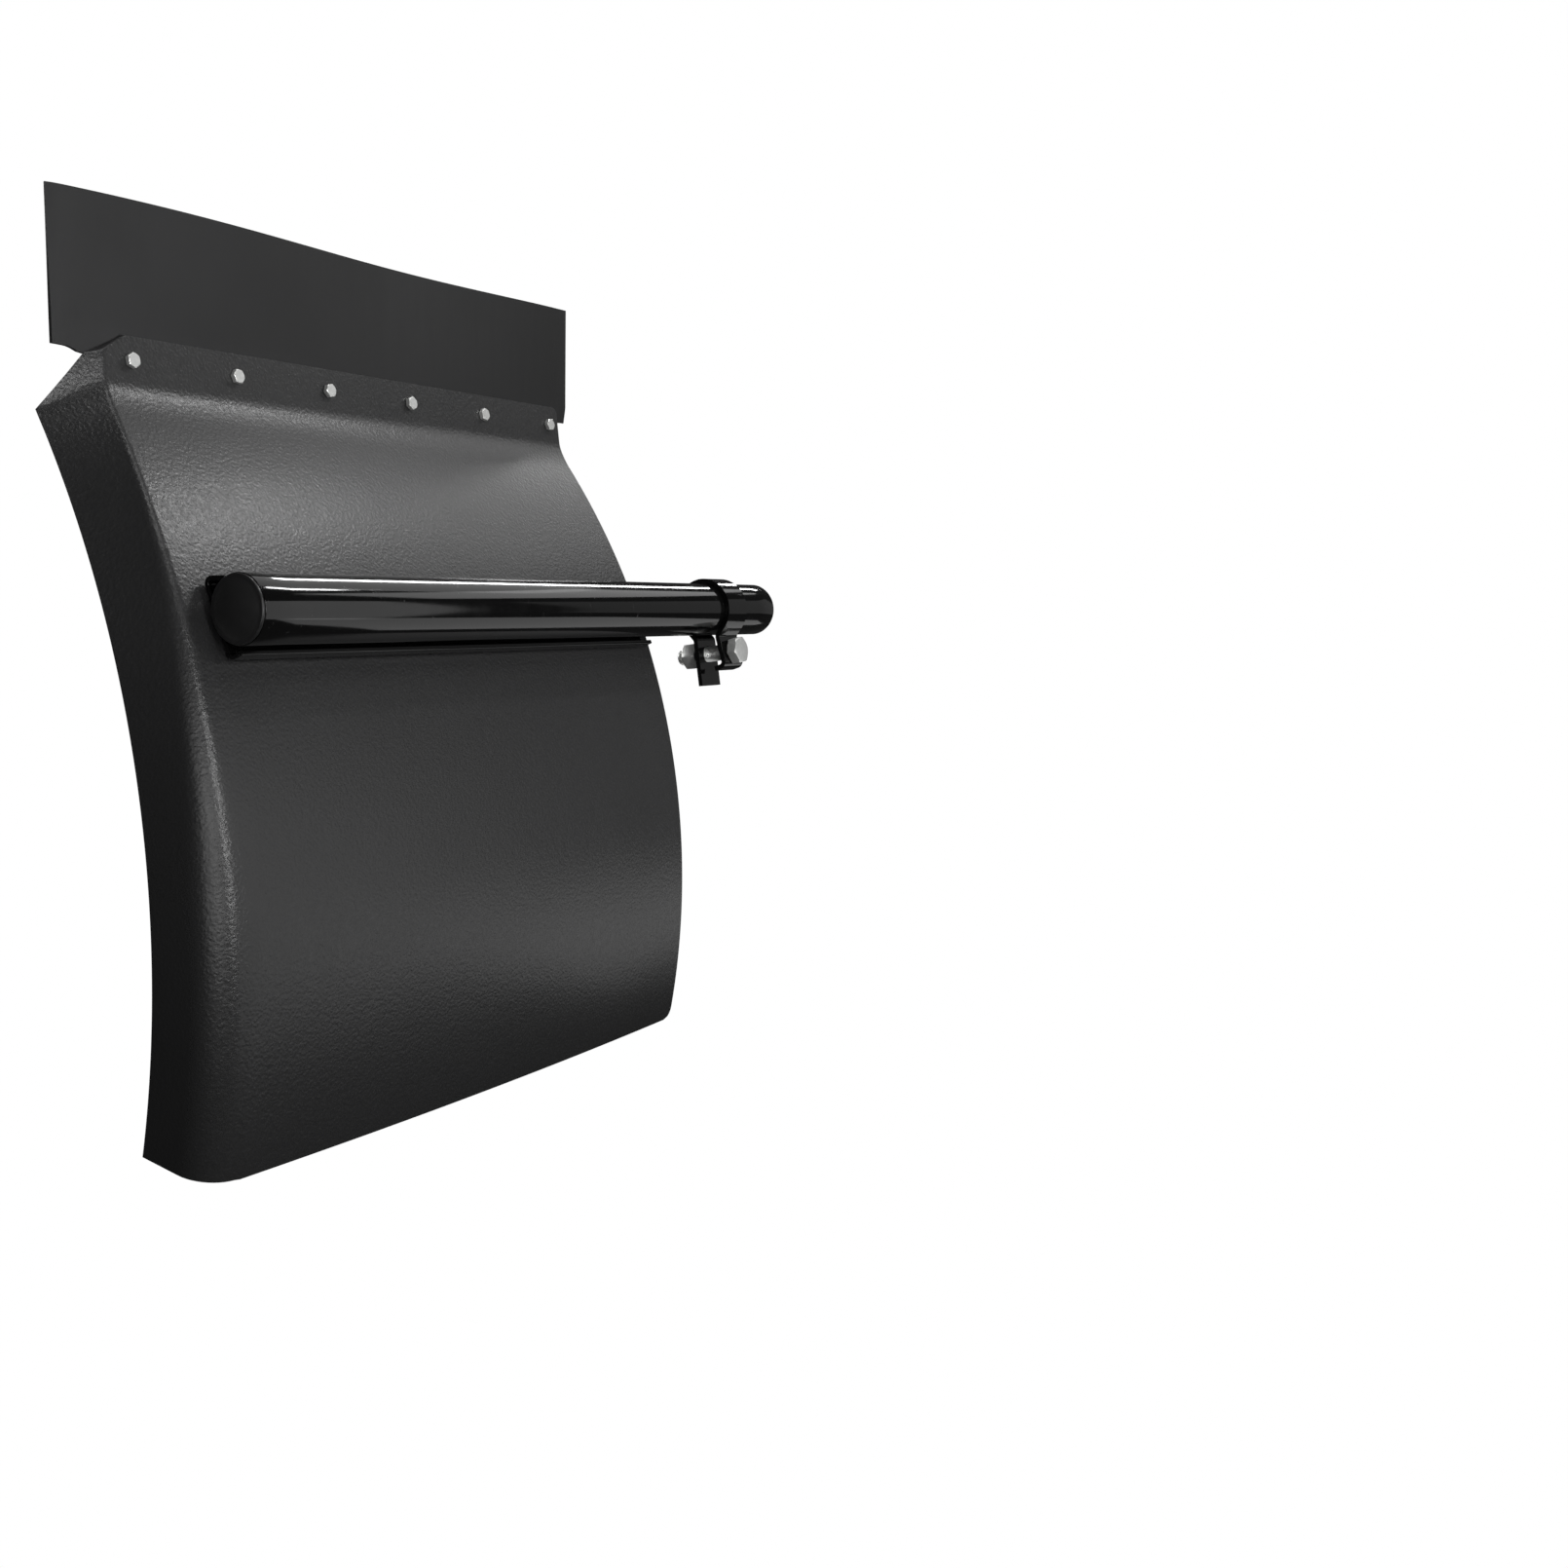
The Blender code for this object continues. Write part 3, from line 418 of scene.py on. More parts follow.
def black_rubber():
    """Matte black sheet with faint streaks down it; painted light makes it paler towards its outboard end,
    painted shade darker towards its inboard end.
    """
    n = Nodes("rubber_sheet")
    streaks = n.noise(n.places((60.0, 60.0, 7.0)), 1.0, 4.0, 0.6)
    cloth = n.noise(n.places(), 700.0, 2.0)
    blotch = n.noise(n.places(), 11.0, 3.0)
    tone = n.maths("ADD", n.maths("MULTIPLY", streaks, 0.6), n.maths("MULTIPLY", blotch, 0.4))
    # Painted light and shade: the colour is scaled up towards the outboard (left) end and down towards the
    # inboard (right) end, standing in for how the lamps fall across the sheet.
    along = n.add("ShaderNodeSeparateXYZ", {"Vector": n.places()}).outputs["X"]
    painted_light_left = n.remap(along, SHEET_LEFT, -0.36, 1.7, 1.0)
    painted_shade_right = n.remap(along, -0.30, SHEET_RIGHT, 1.0, 0.6)
    painted_light_and_shade = n.maths("MULTIPLY", painted_light_left, painted_shade_right)
    base = n.mix_colour(n.remap(tone, 0.35, 0.65, 0.0, 1.0), grey(0.0150), grey(0.0200))
    painted_light_scale = n.add("ShaderNodeVectorMath", {"Scale": painted_light_and_shade}, operation="SCALE")
    n.put(painted_light_scale.inputs[0], base)
    colour = painted_light_scale.outputs["Vector"]
    rough = n.remap(streaks, 0.3, 0.7, 0.62, 0.74)
    return n.finish(
        Base_Color=colour, Roughness=rough, Normal=n.bump(cloth, 0.12, 0.0002),
        IOR=1.5, Specular_IOR_Level=0.35,
    )


def gloss_paint():
    """Gloss black powder coat: a little orange peel, and fine rub marks."""
    n = Nodes("gloss_powder_coat")
    where = n.places()
    peel = n.noise(where, 260.0, 2.0)
    marks = n.noise(n.places((26.0, 420.0, 420.0)), 1.0, 3.0, 0.7)
    rub = n.remap(marks, 0.66, 0.74, 0.0, 1.0)
    colour = n.mix_colour(n.maths("MULTIPLY", rub, 0.16), grey(0.0035), grey(0.20))
    sheen = n.remap(n.noise(where, 45.0, 3.0), 0.3, 0.7, 0.06, 0.11)
    rough = n.maths("ADD", sheen, n.maths("MULTIPLY", rub, 0.2))
    return n.finish(
        Base_Color=colour, Roughness=rough, Normal=n.bump(peel, 0.02, 0.0003),
        IOR=1.5, Specular_IOR_Level=0.5,
    )


def cap_plastic():
    n = Nodes("satin_cap_plastic")
    where = n.places()
    colour = n.mix_colour(n.noise(where, 90.0, 3.0), grey(0.0150), grey(0.0200))
    return n.finish(
        Base_Color=colour, Roughness=n.remap(n.noise(where, 160.0, 2.0), 0.3, 0.7, 0.30, 0.40),
        Normal=n.bump(n.noise(where, 1100.0, 2.0), 0.12, 0.0002), IOR=1.5, Specular_IOR_Level=0.5,
    )


def zinc_plate():
    """Bright zinc plate with drawn and rubbed marks."""
    n = Nodes("bright_zinc_plate")
    where = n.places()
    cloud = n.noise(where, 320.0, 3.0, 0.6)
    colour = n.mix_colour(cloud, (0.66, 0.67, 0.66, 1.0), (0.90, 0.90, 0.88, 1.0))
    rough = n.remap(n.noise(where, 900.0, 2.0), 0.3, 0.7, 0.28, 0.42)
    return n.finish(
        Base_Color=colour, Metallic=0.65, Roughness=rough,
        Normal=n.bump(n.noise(n.places((900.0, 900.0, 160.0)), 1.0, 2.0), 0.15, 0.0002),
    )


def dark_steel():
    """Blackened spring steel."""
    n = Nodes("blackened_spring_steel")
    where = n.places()
    colour = n.mix_colour(n.noise(where, 400.0, 3.0), grey(0.010), grey(0.035))
    return n.finish(
        Base_Color=colour, Metallic=0.4, Roughness=n.remap(n.noise(where, 700.0, 2.0), 0.3, 0.7, 0.30, 0.48),
        Normal=n.bump(n.noise(where, 1500.0, 2.0), 0.2, 0.0002),
    )


PLASTIC = moulded_plastic()
RUBBER_SHEET = black_rubber()
PAINT = gloss_paint()
CAP = cap_plastic()
ZINC = zinc_plate()
DARK = dark_steel()


# ------------------------------------------------------------------------------------------ shell

def smooth(value):
    value = max(0.0, min(1.0, value))
    return value * value * (3.0 - 2.0 * value)


def face_point(angle):
    return FACE_CENTRE + FACE_RADIUS * Vector((0.0, -cos(angle), sin(angle)))


def skirt_edge(angle):
    spoke = Vector((0.0, -cos(angle), sin(angle)))
    offset = FACE_CENTRE - SKIRT_CENTRE
    along = offset.dot(spoke)
    reach = -along + sqrt(along * along - offset.length_squared + SKIRT_RADIUS ** 2)
    return FACE_CENTRE + spoke * reach


def corner_pull(distance, radius):
    """How far a rounded corner of this radius draws the edge in, at this distance from its end."""
    if distance >= radius:
        return 0.0
    return radius - sqrt(max(0.0, radius ** 2 - (radius - distance) ** 2))


def face_station(angle):
    rise = max(0.0, min(1.0, (angle - FACE_LOW_ANGLE) / (FACE_HIGH_ANGLE - FACE_LOW_ANGLE)))
    end = skirt_edge(angle)
    return {
        "base": face_point(angle),
        "normal": Vector((0.0, -cos(angle), sin(angle))),
        "ridge_x": SKIRT_X + (RIDGE_TOP_X - SKIRT_X) * rise ** 2,
        "end": Vector((SKIRT_X, end.y, end.z)),
        "fillet": RIDGE_LOW_RADIUS + (RIDGE_TOP_RADIUS - RIDGE_LOW_RADIUS) * smooth(rise * 1.05),
        "crown": CROWN * smooth((radians(17.0) - angle) / radians(14.0)),
        "inboard": SHELL_INBOARD_X - corner_pull(FACE_RADIUS * (angle - FACE_LOW_ANGLE), LOW_CORNER_RADIUS),
    }


def flange_station(up, skirt_corner):
    base = FLANGE_BASE + FLANGE_UP * up
    over = max(0.0, up - FLANGE_CHAMFER_START) / (FLANGE_HEIGHT - FLANGE_CHAMFER_START)
    ridge_x = RIDGE_TOP_X + FLANGE_CHAMFER_RUN * over ** 1.3
    back = base - FLANGE_OUT * (WALL + 0.0006)
    middle = Vector((RIDGE_TOP_X - 0.012, back.y + 0.0015, FLANGE_BASE.z + 0.027))
    if up < FLANGE_CHAMFER_START:
        end = skirt_corner.lerp(middle, up / FLANGE_CHAMFER_START)
    else:
        corner = Vector((ridge_x - 0.0002, back.y, base.z + 0.0005))
        end = middle.lerp(corner, smooth(over) ** 0.8)
    return {
        "base": base,
        "normal": FLANGE_OUT,
        "ridge_x": ridge_x,
        "end": end,
        "fillet": RIDGE_TOP_RADIUS,
        "crown": 0.0,
        "inboard": SHELL_INBOARD_X - corner_pull(FLANGE_HEIGHT - up, TOP_CORNER_RADIUS),
    }


def shell_stations(face_steps, fold_steps, flange_steps):
    stations = []
    fold_start = FACE_HIGH_ANGLE - radians(0.9)
    for i in range(face_steps + 1):
        share = (i / face_steps) ** 1.25
        stations.append(face_station(FACE_LOW_ANGLE + (fold_start - FACE_LOW_ANGLE) * share))
    last = stations[-1]
    highest = skirt_edge(SKIRT_HIGH_ANGLE)
    skirt_corner = Vector((SKIRT_X, highest.y, highest.z))
    first_up = 0.009
    high = flange_station(first_up, skirt_corner)
    corner = FLANGE_BASE + FLANGE_UP * 0.0005
    for i in range(1, fold_steps):
        t = i / fold_steps
        if t <= 0.5:
            end = last["end"].lerp(skirt_corner, 2 * t)
        else:
            end = skirt_corner.lerp(high["end"], 2 * t - 1)
        stations.append({
            "base": (1 - t) ** 2 * last["base"] + 2 * t * (1 - t) * corner + t ** 2 * high["base"],
            "normal": last["normal"].slerp(high["normal"], t),
            "ridge_x": last["ridge_x"] + (high["ridge_x"] - last["ridge_x"]) * t,
            "end": end,
            "fillet": last["fillet"] + (high["fillet"] - last["fillet"]) * t,
            "crown": 0.0,
            "inboard": SHELL_INBOARD_X,
        })
    for i in range(flange_steps + 1):
        share = 1.0 - (1.0 - i / flange_steps) ** 1.3
        stations.append(flange_station(first_up + (FLANGE_HEIGHT - first_up) * share, skirt_corner))
    return stations


def section_points(station, inset, face_steps, ridge_steps, skirt_steps):
    """Points across one section, from the inboard edge round the ridge to the skirt's rear edge."""
    out = station["normal"]
    base = station["base"] - out * inset
    ridge = Vector((station["ridge_x"] + inset, base.y, base.z))
    end = station["end"] + Vector((inset, 0.0, 0.0))
    side = end - ridge
    depth = -side.dot(out)
    if depth < THINNEST_SKIRT:
        end = end - out * (THINNEST_SKIRT - depth)
        side = end - ridge
    side_dir = side.normalized()
    across = Vector((1.0, 0.0, 0.0))
    half = acos(max(-1.0, min(1.0, across.dot(side_dir)))) / 2
    radius = max(0.0003, min(station["fillet"] - inset, 0.45 * side.length * tan(half)))
    run = radius / tan(half)
    start = ridge + across * run
    centre = ridge + (across + side_dir).normalized() * (radius / sin(half))
    stop = ridge + side_dir * run
    middle = (SHELL_INBOARD_X + station["ridge_x"]) / 2
    reach = (SHELL_INBOARD_X - station["ridge_x"]) / 2
    points = []
    for i in range(face_steps + 1):
        x = station["inboard"] + (start.x - station["inboard"]) * i / face_steps
        bulge = station["crown"] * max(0.0, 1.0 - ((x - middle) / reach) ** 2)
        points.append(Vector((x, base.y, base.z)) + out * bulge)
    first = start - centre
    axis = first.cross(stop - centre)
    turn = pi - 2 * half
    for i in range(1, ridge_steps + 1):
        points.append(centre + Matrix.Rotation(turn * i / ridge_steps, 3, axis) @ first)
    for i in range(1, skirt_steps + 1):
        points.append(stop.lerp(end, i / skirt_steps))
    return points


def screw_places():
    level = FLANGE_BASE + FLANGE_UP * SCREW_UP
    return [Vector((SCREW_FIRST_X + SCREW_PITCH * k, level.y, level.z)) for k in range(SCREW_COUNT)]


def carriage_places():
    first = CHANNEL_LOW_X + CARRIAGE_INSET
    step = (CHANNEL_HIGH_X - CARRIAGE_INSET - first) / (CARRIAGE_COUNT - 1)
    level = PLATE_UP * CARRIAGE_UP - PLATE_OUT * PLATE_DEPTH
    return [Vector((first + step * k, level.y, level.z)) for k in range(CARRIAGE_COUNT)]


def build_shell():
    stations = shell_stations(84, 8, 16)
    outside = [section_points(s, 0.0, 48, 12, 10) for s in stations]
    inside = [section_points(s, WALL, 48, 12, 10) for s in stations]
    mesh = bmesh.new()
    outer = [[mesh.verts.new(point) for point in row] for row in outside]
    inner = [[mesh.verts.new(point) for point in row] for row in inside]
    rows = len(outer)
    columns = len(outer[0])
    for r in range(rows - 1):
        for c in range(columns - 1):
            mesh.faces.new((outer[r][c], outer[r][c + 1], outer[r + 1][c + 1], outer[r + 1][c]))
            mesh.faces.new((inner[r][c], inner[r + 1][c], inner[r + 1][c + 1], inner[r][c + 1]))
    for c in range(columns - 1):
        mesh.faces.new((outer[0][c], inner[0][c], inner[0][c + 1], outer[0][c + 1]))
        mesh.faces.new((outer[-1][c], outer[-1][c + 1], inner[-1][c + 1], inner[-1][c]))
    for r in range(rows - 1):
        mesh.faces.new((outer[r][0], outer[r + 1][0], inner[r + 1][0], inner[r][0]))
        mesh.faces.new((outer[r][-1], inner[r][-1], inner[r + 1][-1], outer[r + 1][-1]))
    shell = new_object("moulded_shell", mesh, PLASTIC, 50.0)
    bevel(shell, SHELL_EDGE_ROUND, 3, 60.0)
    applied(shell)
    return seat(shell, "fender", "moulded_plastic", "fender_shell")


# ------------------------------------------------------------------------------------- rubber sheet

def top_wave(x):
    """How the sheet's free top edge snakes, as a Y for its front face, with both ends curling back."""
    left = x - SHEET_LEFT
    right = SHEET_RIGHT - x
    curl = 0.0036 * exp(-left / 0.045) + 0.0022 * exp(-left / 0.004) + 0.0042 * exp(-right / 0.045)
    return 0.12275 - 0.00725 * cos(2 * pi * (x + 0.555) / 0.554) + curl


def sheet_front(x, z):
    """The Y of the sheet's front face: flat behind the flange, then leaning and waving to its top edge."""
    plane = FLANGE_BASE - FLANGE_OUT * (WALL + GAP)
    low = min(z, FLANGE_TOP_Z)
    behind = plane.y + (low - plane.z) * tan(FLANGE_LEAN)
    past_corner = smooth((-0.616 - x) / 0.012)
    behind += max(0.0, 0.1290 - behind) * past_corner
    behind += (0.1244 - behind) * smooth((-0.642 - x) / 0.022)
    behind += (0.1265 - 0.18 * (low - SHOULDER_Z) - behind) * smooth((x + 0.0865) / 0.013)
    over = (z - FLANGE_TOP_Z) / (SHEET_TOP - FLANGE_TOP_Z)
    if over <= 0.0:
        return behind
    eased = over - 0.04 * (1.0 - exp(-over / 0.04))
    return behind + (top_wave(x) - behind) * eased


def build_sheet():
    """One sheet: a wide band above, ears beside the flange, and a tongue behind it."""
    columns = [SHEET_LEFT + (SHEET_RIGHT - SHEET_LEFT) * i / 120 for i in range(121)]
    rows = [TONGUE_LOW + 0.0045 * i for i in range(4)]
    rows += [SHOULDER_Z + (SHEET_TOP - SHOULDER_Z) * i / 28 for i in range(29)]

    def inside(x, z):
        if z > SHOULDER_Z:
            return True
        left = TONGUE_LEFT if z < 0.174 else TONGUE_LEFT - 0.012
        return left < x < TONGUE_RIGHT

    mesh = bmesh.new()
    front = {}
    back = {}

    def vertex(store, i, j, way):
        if (i, j) not in store:
            x, z = columns[i], rows[j]
            d = 0.0005
            slope_x = (sheet_front(x + d, z) - sheet_front(x - d, z)) / (2 * d)
            slope_z = (sheet_front(x, z + d) - sheet_front(x, z - d)) / (2 * d)
            normal = Vector((slope_x, -1.0, slope_z)).normalized()
            point = Vector((x, sheet_front(x, z), z)) - normal * (RUBBER if way else 0.0)
            if rows[j] == SHOULDER_Z and x < -0.60:
                point.z -= 0.003 * smooth((x + 0.652) / 0.013)
            store[(i, j)] = mesh.verts.new(point)
        return store[(i, j)]

    cells = set()
    for i in range(len(columns) - 1):
        for j in range(len(rows) - 1):
            if inside((columns[i] + columns[i + 1]) / 2, (rows[j] + rows[j + 1]) / 2):
                cells.add((i, j))
    for i, j in cells:
        ring = [(i, j), (i + 1, j), (i + 1, j + 1), (i, j + 1)]
        mesh.faces.new([vertex(front, *corner, False) for corner in ring])
        mesh.faces.new([vertex(back, *corner, True) for corner in reversed(ring)])
        sides = ((0, 1, (i, j - 1)), (1, 2, (i + 1, j)), (2, 3, (i, j + 1)), (3, 0, (i - 1, j)))
        for a, b, neighbour in sides:
            if neighbour not in cells:
                p, q = ring[a], ring[b]
                mesh.faces.new((
                    vertex(front, *q, False), vertex(front, *p, False),
                    vertex(back, *p, True), vertex(back, *q, True),
                ))
    sheet = new_object("rubber_sheet", mesh, RUBBER_SHEET, 50.0)
    bevel(sheet, 0.0004, 2, 60.0)
    applied(sheet)
    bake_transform(sheet)
    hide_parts("rubber_flap_tongue", "rubber_flap_free")
    return sheet


def build_strip():
    """The painted steel strip that the screws' nuts draw up against the rubber."""
    depth = WALL + GAP + RUBBER + GAP + STRIP_THICK / 2
    middle = FLANGE_BASE + FLANGE_UP * SCREW_UP - FLANGE_OUT * depth
    low = middle - FLANGE_UP * STRIP_HALF_HEIGHT
    high = middle + FLANGE_UP * STRIP_HALF_HEIGHT
    path = [(low.y, low.z), (high.y, high.z)]
    strip = bar("clamping_strip", path, STRIP_LOW_X, STRIP_HIGH_X, STRIP_THICK, PAINT)
    for point in screw_places():
        boolean(strip, cylinder("hole", SCREW_HOLE_RADIUS, 0.04, axis_matrix(point, FLANGE_OUT), 24))
    bevel(strip, 0.0005, 2)
    applied(strip)
    return seat(strip, "fender", "gloss_paint", "backing_strip")


# --------------------------------------------------------------------------------- tube and channel

def arc_profile(centre_r, centre_z, radius, start, stop, steps=3):
    """A small round between two angles, in degrees, as (radius, height) points."""
    return [
        (centre_r + radius * cos(radians(start + (stop - start) * i / steps)),
         centre_z + radius * sin(radians(start + (stop - start) * i / steps)))
        for i in range(steps + 1)
    ]


def build_tube():
    inner = TUBE_RADIUS - TUBE_WALL
    length = TUBE_HIGH_X - TUBE_LOW_X
    edge = 0.0004
    profile = arc_profile(TUBE_RADIUS - edge, length - edge, edge, 90, 0)
    profile += [(TUBE_RADIUS, length * k / 24) for k in range(23, 0, -1)]
    profile += arc_profile(TUBE_RADIUS - edge, edge, edge, 0, -90)
    profile += arc_profile(inner + edge, edge, edge, 270, 180)
    profile += arc_profile(inner + edge, length - edge, edge, 180, 90)
    tube = turned("round_tube", profile, PAINT, 128)
    tube.matrix_world = Matrix.Translation((TUBE_LOW_X, 0.0, 0.0)) @ Matrix.Rotation(pi / 2, 4, "Y")
    seat(tube, "fender", "gloss_paint", "mounting_tube")
    ends = (
        ("outboard_plug_cap", TUBE_LOW_X, -1.0, "outboard_end_cap"),
        ("inboard_plug_cap", TUBE_HIGH_X, 1.0, "inboard_end_cap"),
    )
    for name, x, way, node in ends:
        cap = turned(name, cap_profile(), CAP, 96, 25.0)
        cap.matrix_world = Matrix.Translation((x, 0.0, 0.0)) @ Matrix.Rotation(way * pi / 2, 4, "Y")
        seat(cap, "fender", "cap_plastic", node)


def cap_profile():
    """A plug cap's half section: shallow dome, rolled rim, then the hollow ribbed plug inside the tube."""
    rim = 0.0014
    rim_top = 0.0016
    dome_edge = CAP_RADIUS - 0.0011
    dome_radius = (dome_edge ** 2 + CAP_DOME ** 2) / (2 * CAP_DOME)
    widest = asin(dome_edge / dome_radius)
    points = []
    for i in range(15):
        angle = widest * i / 15
        points.append((dome_radius * sin(angle), dome_radius * cos(angle) - dome_radius + CAP_DOME + rim_top))
    points[0] = (0.0, CAP_DOME + rim_top)
    points += arc_profile(CAP_RADIUS - rim, rim_top + 0.0003 - rim + 0.0006, rim, 62, 0, 5)
    points += [(CAP_RADIUS, GAP + 0.0002), (CAP_RADIUS - 0.0002, GAP)]
    plug = TUBE_RADIUS - TUBE_WALL - GAP
    points += [(plug - 0.0003, GAP)]
    for k in range(4):
        level = -0.0028 - 0.0034 * k
        points += [(plug - 0.0006, level + 0.0006), (plug, level), (plug, level - 0.0006),
                   (plug - 0.0006, level - 0.0012)]
    points += [
        (plug - 0.0008, -CAP_PLUG_LENGTH), (plug - 0.0022, -CAP_PLUG_LENGTH), (plug - 0.0022, -0.001),
        (0.0, -0.001),
    ]
    return points


def build_channel():
    top = PLATE_UP * CHANNEL_TOP - PLATE_OUT * PLATE_DEPTH
    bottom = PLATE_UP * CHANNEL_BOTTOM - PLATE_OUT * PLATE_DEPTH
    tip = bottom + PLATE_OUT * CHANNEL_LOWER_LIP
    corners = [(CHANNEL_UPPER_LIP_Y, top.z), (top.y, top.z), (bottom.y, bottom.z), (tip.y, tip.z)]
    path = rounded_path(corners, [CHANNEL_BEND_RADIUS, CHANNEL_BEND_RADIUS])
    channel = bar("bent_channel", path, CHANNEL_LOW_X, CHANNEL_HIGH_X, CHANNEL_THICK, PAINT)
    for point in carriage_places():
        boolean(channel, cylinder("hole", 0.0044, 0.012, axis_matrix(point, PLATE_OUT), 24))
    bevel(channel, 0.0006, 2)
    applied(channel)
    return seat(channel, "fender", "gloss_paint", "tube_channel")


# ---------------------------------------------------------------------------------------- fasteners

def threaded_rod(radius, pitch, low, high, segments, finish_plain=None):
    """A closed bmesh rod on Z from low to high, with a single-start thread below finish_plain."""
    mesh = bmesh.new()
    depth = pitch * 0.55
    per_turn = 6
    step = pitch / per_turn
    plain = high if finish_plain is None else finish_plain
    levels = [high]
    if plain < high:
        levels.append(plain)
    z = plain - step
    while z > low + pitch * 0.3:
        levels.append(z)
        z -= step
    levels.append(low)
    rings = []
    for level in levels:
        ring = []
        for k in range(segments):
            angle = 2 * pi * k / segments
            phase = ((plain - level) / pitch + k / segments) % 1.0
            ridge = 1.0 - abs(2.0 * phase - 1.0)
            cut = depth * max(0.0, min(1.0, 1.35 * ridge - 0.1))
            fade = min(1.0, max(0.0, (plain - level) / (pitch * 1.5)))
            r = radius - cut * fade
            if level <= low + pitch * 0.4:
                r = min(r, radius - depth - 0.1 * pitch)
            ring.append(mesh.verts.new((r * cos(angle), r * sin(angle), level)))
        rings.append(ring)
    for a, b in zip(rings, rings[1:]):
        for k in range(segments):
            n = (k + 1) % segments
            mesh.faces.new((a[k], b[k], b[n], a[n]))
    mesh.faces.new(rings[0])
    mesh.faces.new(list(reversed(rings[-1])))
    return mesh


def chamfered_hexagon(name, flats, height, both_ends, washer_face=0.0):
    """A hexagon on Z from 0 to height, its corners turned back at the top, or at both ends."""
    mesh = bmesh.new()
    corner = flats / sqrt(3)
    bmesh.ops.create_cone(mesh, cap_ends=True, segments=6, radius1=corner, radius2=corner, depth=height)
    bmesh.ops.translate(mesh, vec=(0.0, 0.0, height / 2), verts=mesh.verts)
    blank = new_object(name, mesh, ZINC, 20.0)
    big = corner * 1.01
    flat = flats / 2 * 0.955
    fall = (big - flat) * tan(radians(28))
    low = [(big, fall), (flat, 0.0)] if both_ends else [(big, 0.0)]
    profile = [(0.0, height), (flat, height), (big, height - fall)] + low + [(0.0, 0.0)]
    turned_blank = turned(f"{name}_blank", profile, ZINC, 72)
    boolean(blank, turned_blank, "INTERSECT")
    if washer_face:
        under = [(0.0, washer_face), (flats * 0.47, washer_face), (flats * 0.47, 0.0), (0.0, 0.0)]
        for vertex in blank.data.vertices:
            if vertex.co.z < 1e-6:
                vertex.co.z = washer_face * 0.9
        boolean(blank, turned(f"{name}_face", under, ZINC, 48), "UNION")
    return blank


def hex_bolt(name, size, length, segments=24, plain=None):
    """A hex bolt, head standing on Z=0, its shank running down and threaded below the plain length."""
    head = chamfered_hexagon(name, size["flats"], size["head"], False, size["head"] * 0.06)
    radius = size["thread"] / 2
    rod_mesh = threaded_rod(
        radius, size["pitch"], -length, size["head"] * 0.5, segments, -(plain or size["pitch"] * 0.5)
    )
    rod = new_object(f"{name}_rod", rod_mesh, ZINC)
    boolean(head, rod, "UNION")
    finish_steel(head, size["flats"] * 0.012)
    return head


def finish_steel(obj, width):
    data = obj.data
    data.shade_smooth()
    data.set_sharp_from_angle(angle=radians(18))
    bevel(obj, width, 2, 20.0)
    applied(obj)
    obj.data.shade_smooth()
    obj.data.set_sharp_from_angle(angle=radians(24))


def washer(name, size, finish=None, segments=48):
    outer, thickness = size["washer"]
    inner = size["thread"] / 2 + HOLE_PLAY
    edge = thickness * 0.15
    profile = arc_profile(outer / 2 - edge, thickness - edge, edge, 90, 0, 2)
    profile += arc_profile(outer / 2 - edge, edge, edge, 0, -90, 2)
    profile += [(inner, 0.0), (inner, thickness)]
    return turned(name, profile, finish or ZINC, segments)


def nut(name, size, segments=40):
    blank = chamfered_hexagon(name, size["flats"], size["nut"], True)
    bore = size["thread"] / 2 + 0.0002
    boolean(blank, cylinder("bore", bore, 0.06, Matrix.Identity(4), segments))
    mouth = bore + size["pitch"] * 0.6
    for level, way in ((size["nut"], 1.0), (0.0, -1.0)):
        cone = [(0.0, level + way * 0.001), (mouth + 0.001, level + way * 0.001),
                (bore - 0.0002, level - way * (mouth - bore + 0.0002)),
                (0.0, level - way * (mouth - bore + 0.0002))]
        if way < 0:
            cone.reverse()
        boolean(blank, turned("mouth", cone, ZINC, segments))
    finish_steel(blank, size["flats"] * 0.010)
    return blank


made = []


def copies(source, names, matrices, body, slot, nodes):
    """Notes the source, and a full copy of it for each further name, each to be seated for its CAD node."""
    for k, (name, matrix, node) in enumerate(zip(names, matrices, nodes)):
        obj = source
        if k:
            obj = source.copy()
            obj.data = source.data.copy()
            SCENE.collection.objects.link(obj)
        obj.name = name
        obj.matrix_world = matrix
        made.append((obj, body, slot, node))


def build_flange_fasteners():
    places = screw_places()
    spins = [radians(17 * k + 5) for k in range(SCREW_COUNT)]
    washer_at = WALL + RUBBER + STRIP_THICK + 3 * GAP
    nut_at = washer_at + M6["washer"][1] + GAP
    numbers = range(1, SCREW_COUNT + 1)
    bolt = hex_bolt("m6_screw", M6, nut_at + M6["nut"] + 0.0015 + GAP, 20, WALL)
    copies(bolt, [f"m6_screw_{k}" for k in numbers],
           [axis_matrix(p + FLANGE_OUT * GAP, FLANGE_OUT, s) for p, s in zip(places, spins)],
           "fender", "zinc_steel", [f"flange_screw_{k}" for k in numbers])
    copies(washer("m6_washer", M6, None, 32), [f"m6_washer_{k}" for k in numbers],
           [axis_matrix(p - FLANGE_OUT * washer_at, -FLANGE_OUT) for p in places],
           "fender", "zinc_steel", [f"flange_washer_{k}" for k in numbers])
    copies(nut("m6_nut", M6, 24), [f"m6_nut_{k}" for k in numbers],
           [axis_matrix(p - FLANGE_OUT * nut_at, -FLANGE_OUT, s * 1.7) for p, s in zip(places, spins)],
           "fender", "zinc_steel", [f"flange_nut_{k}" for k in numbers])


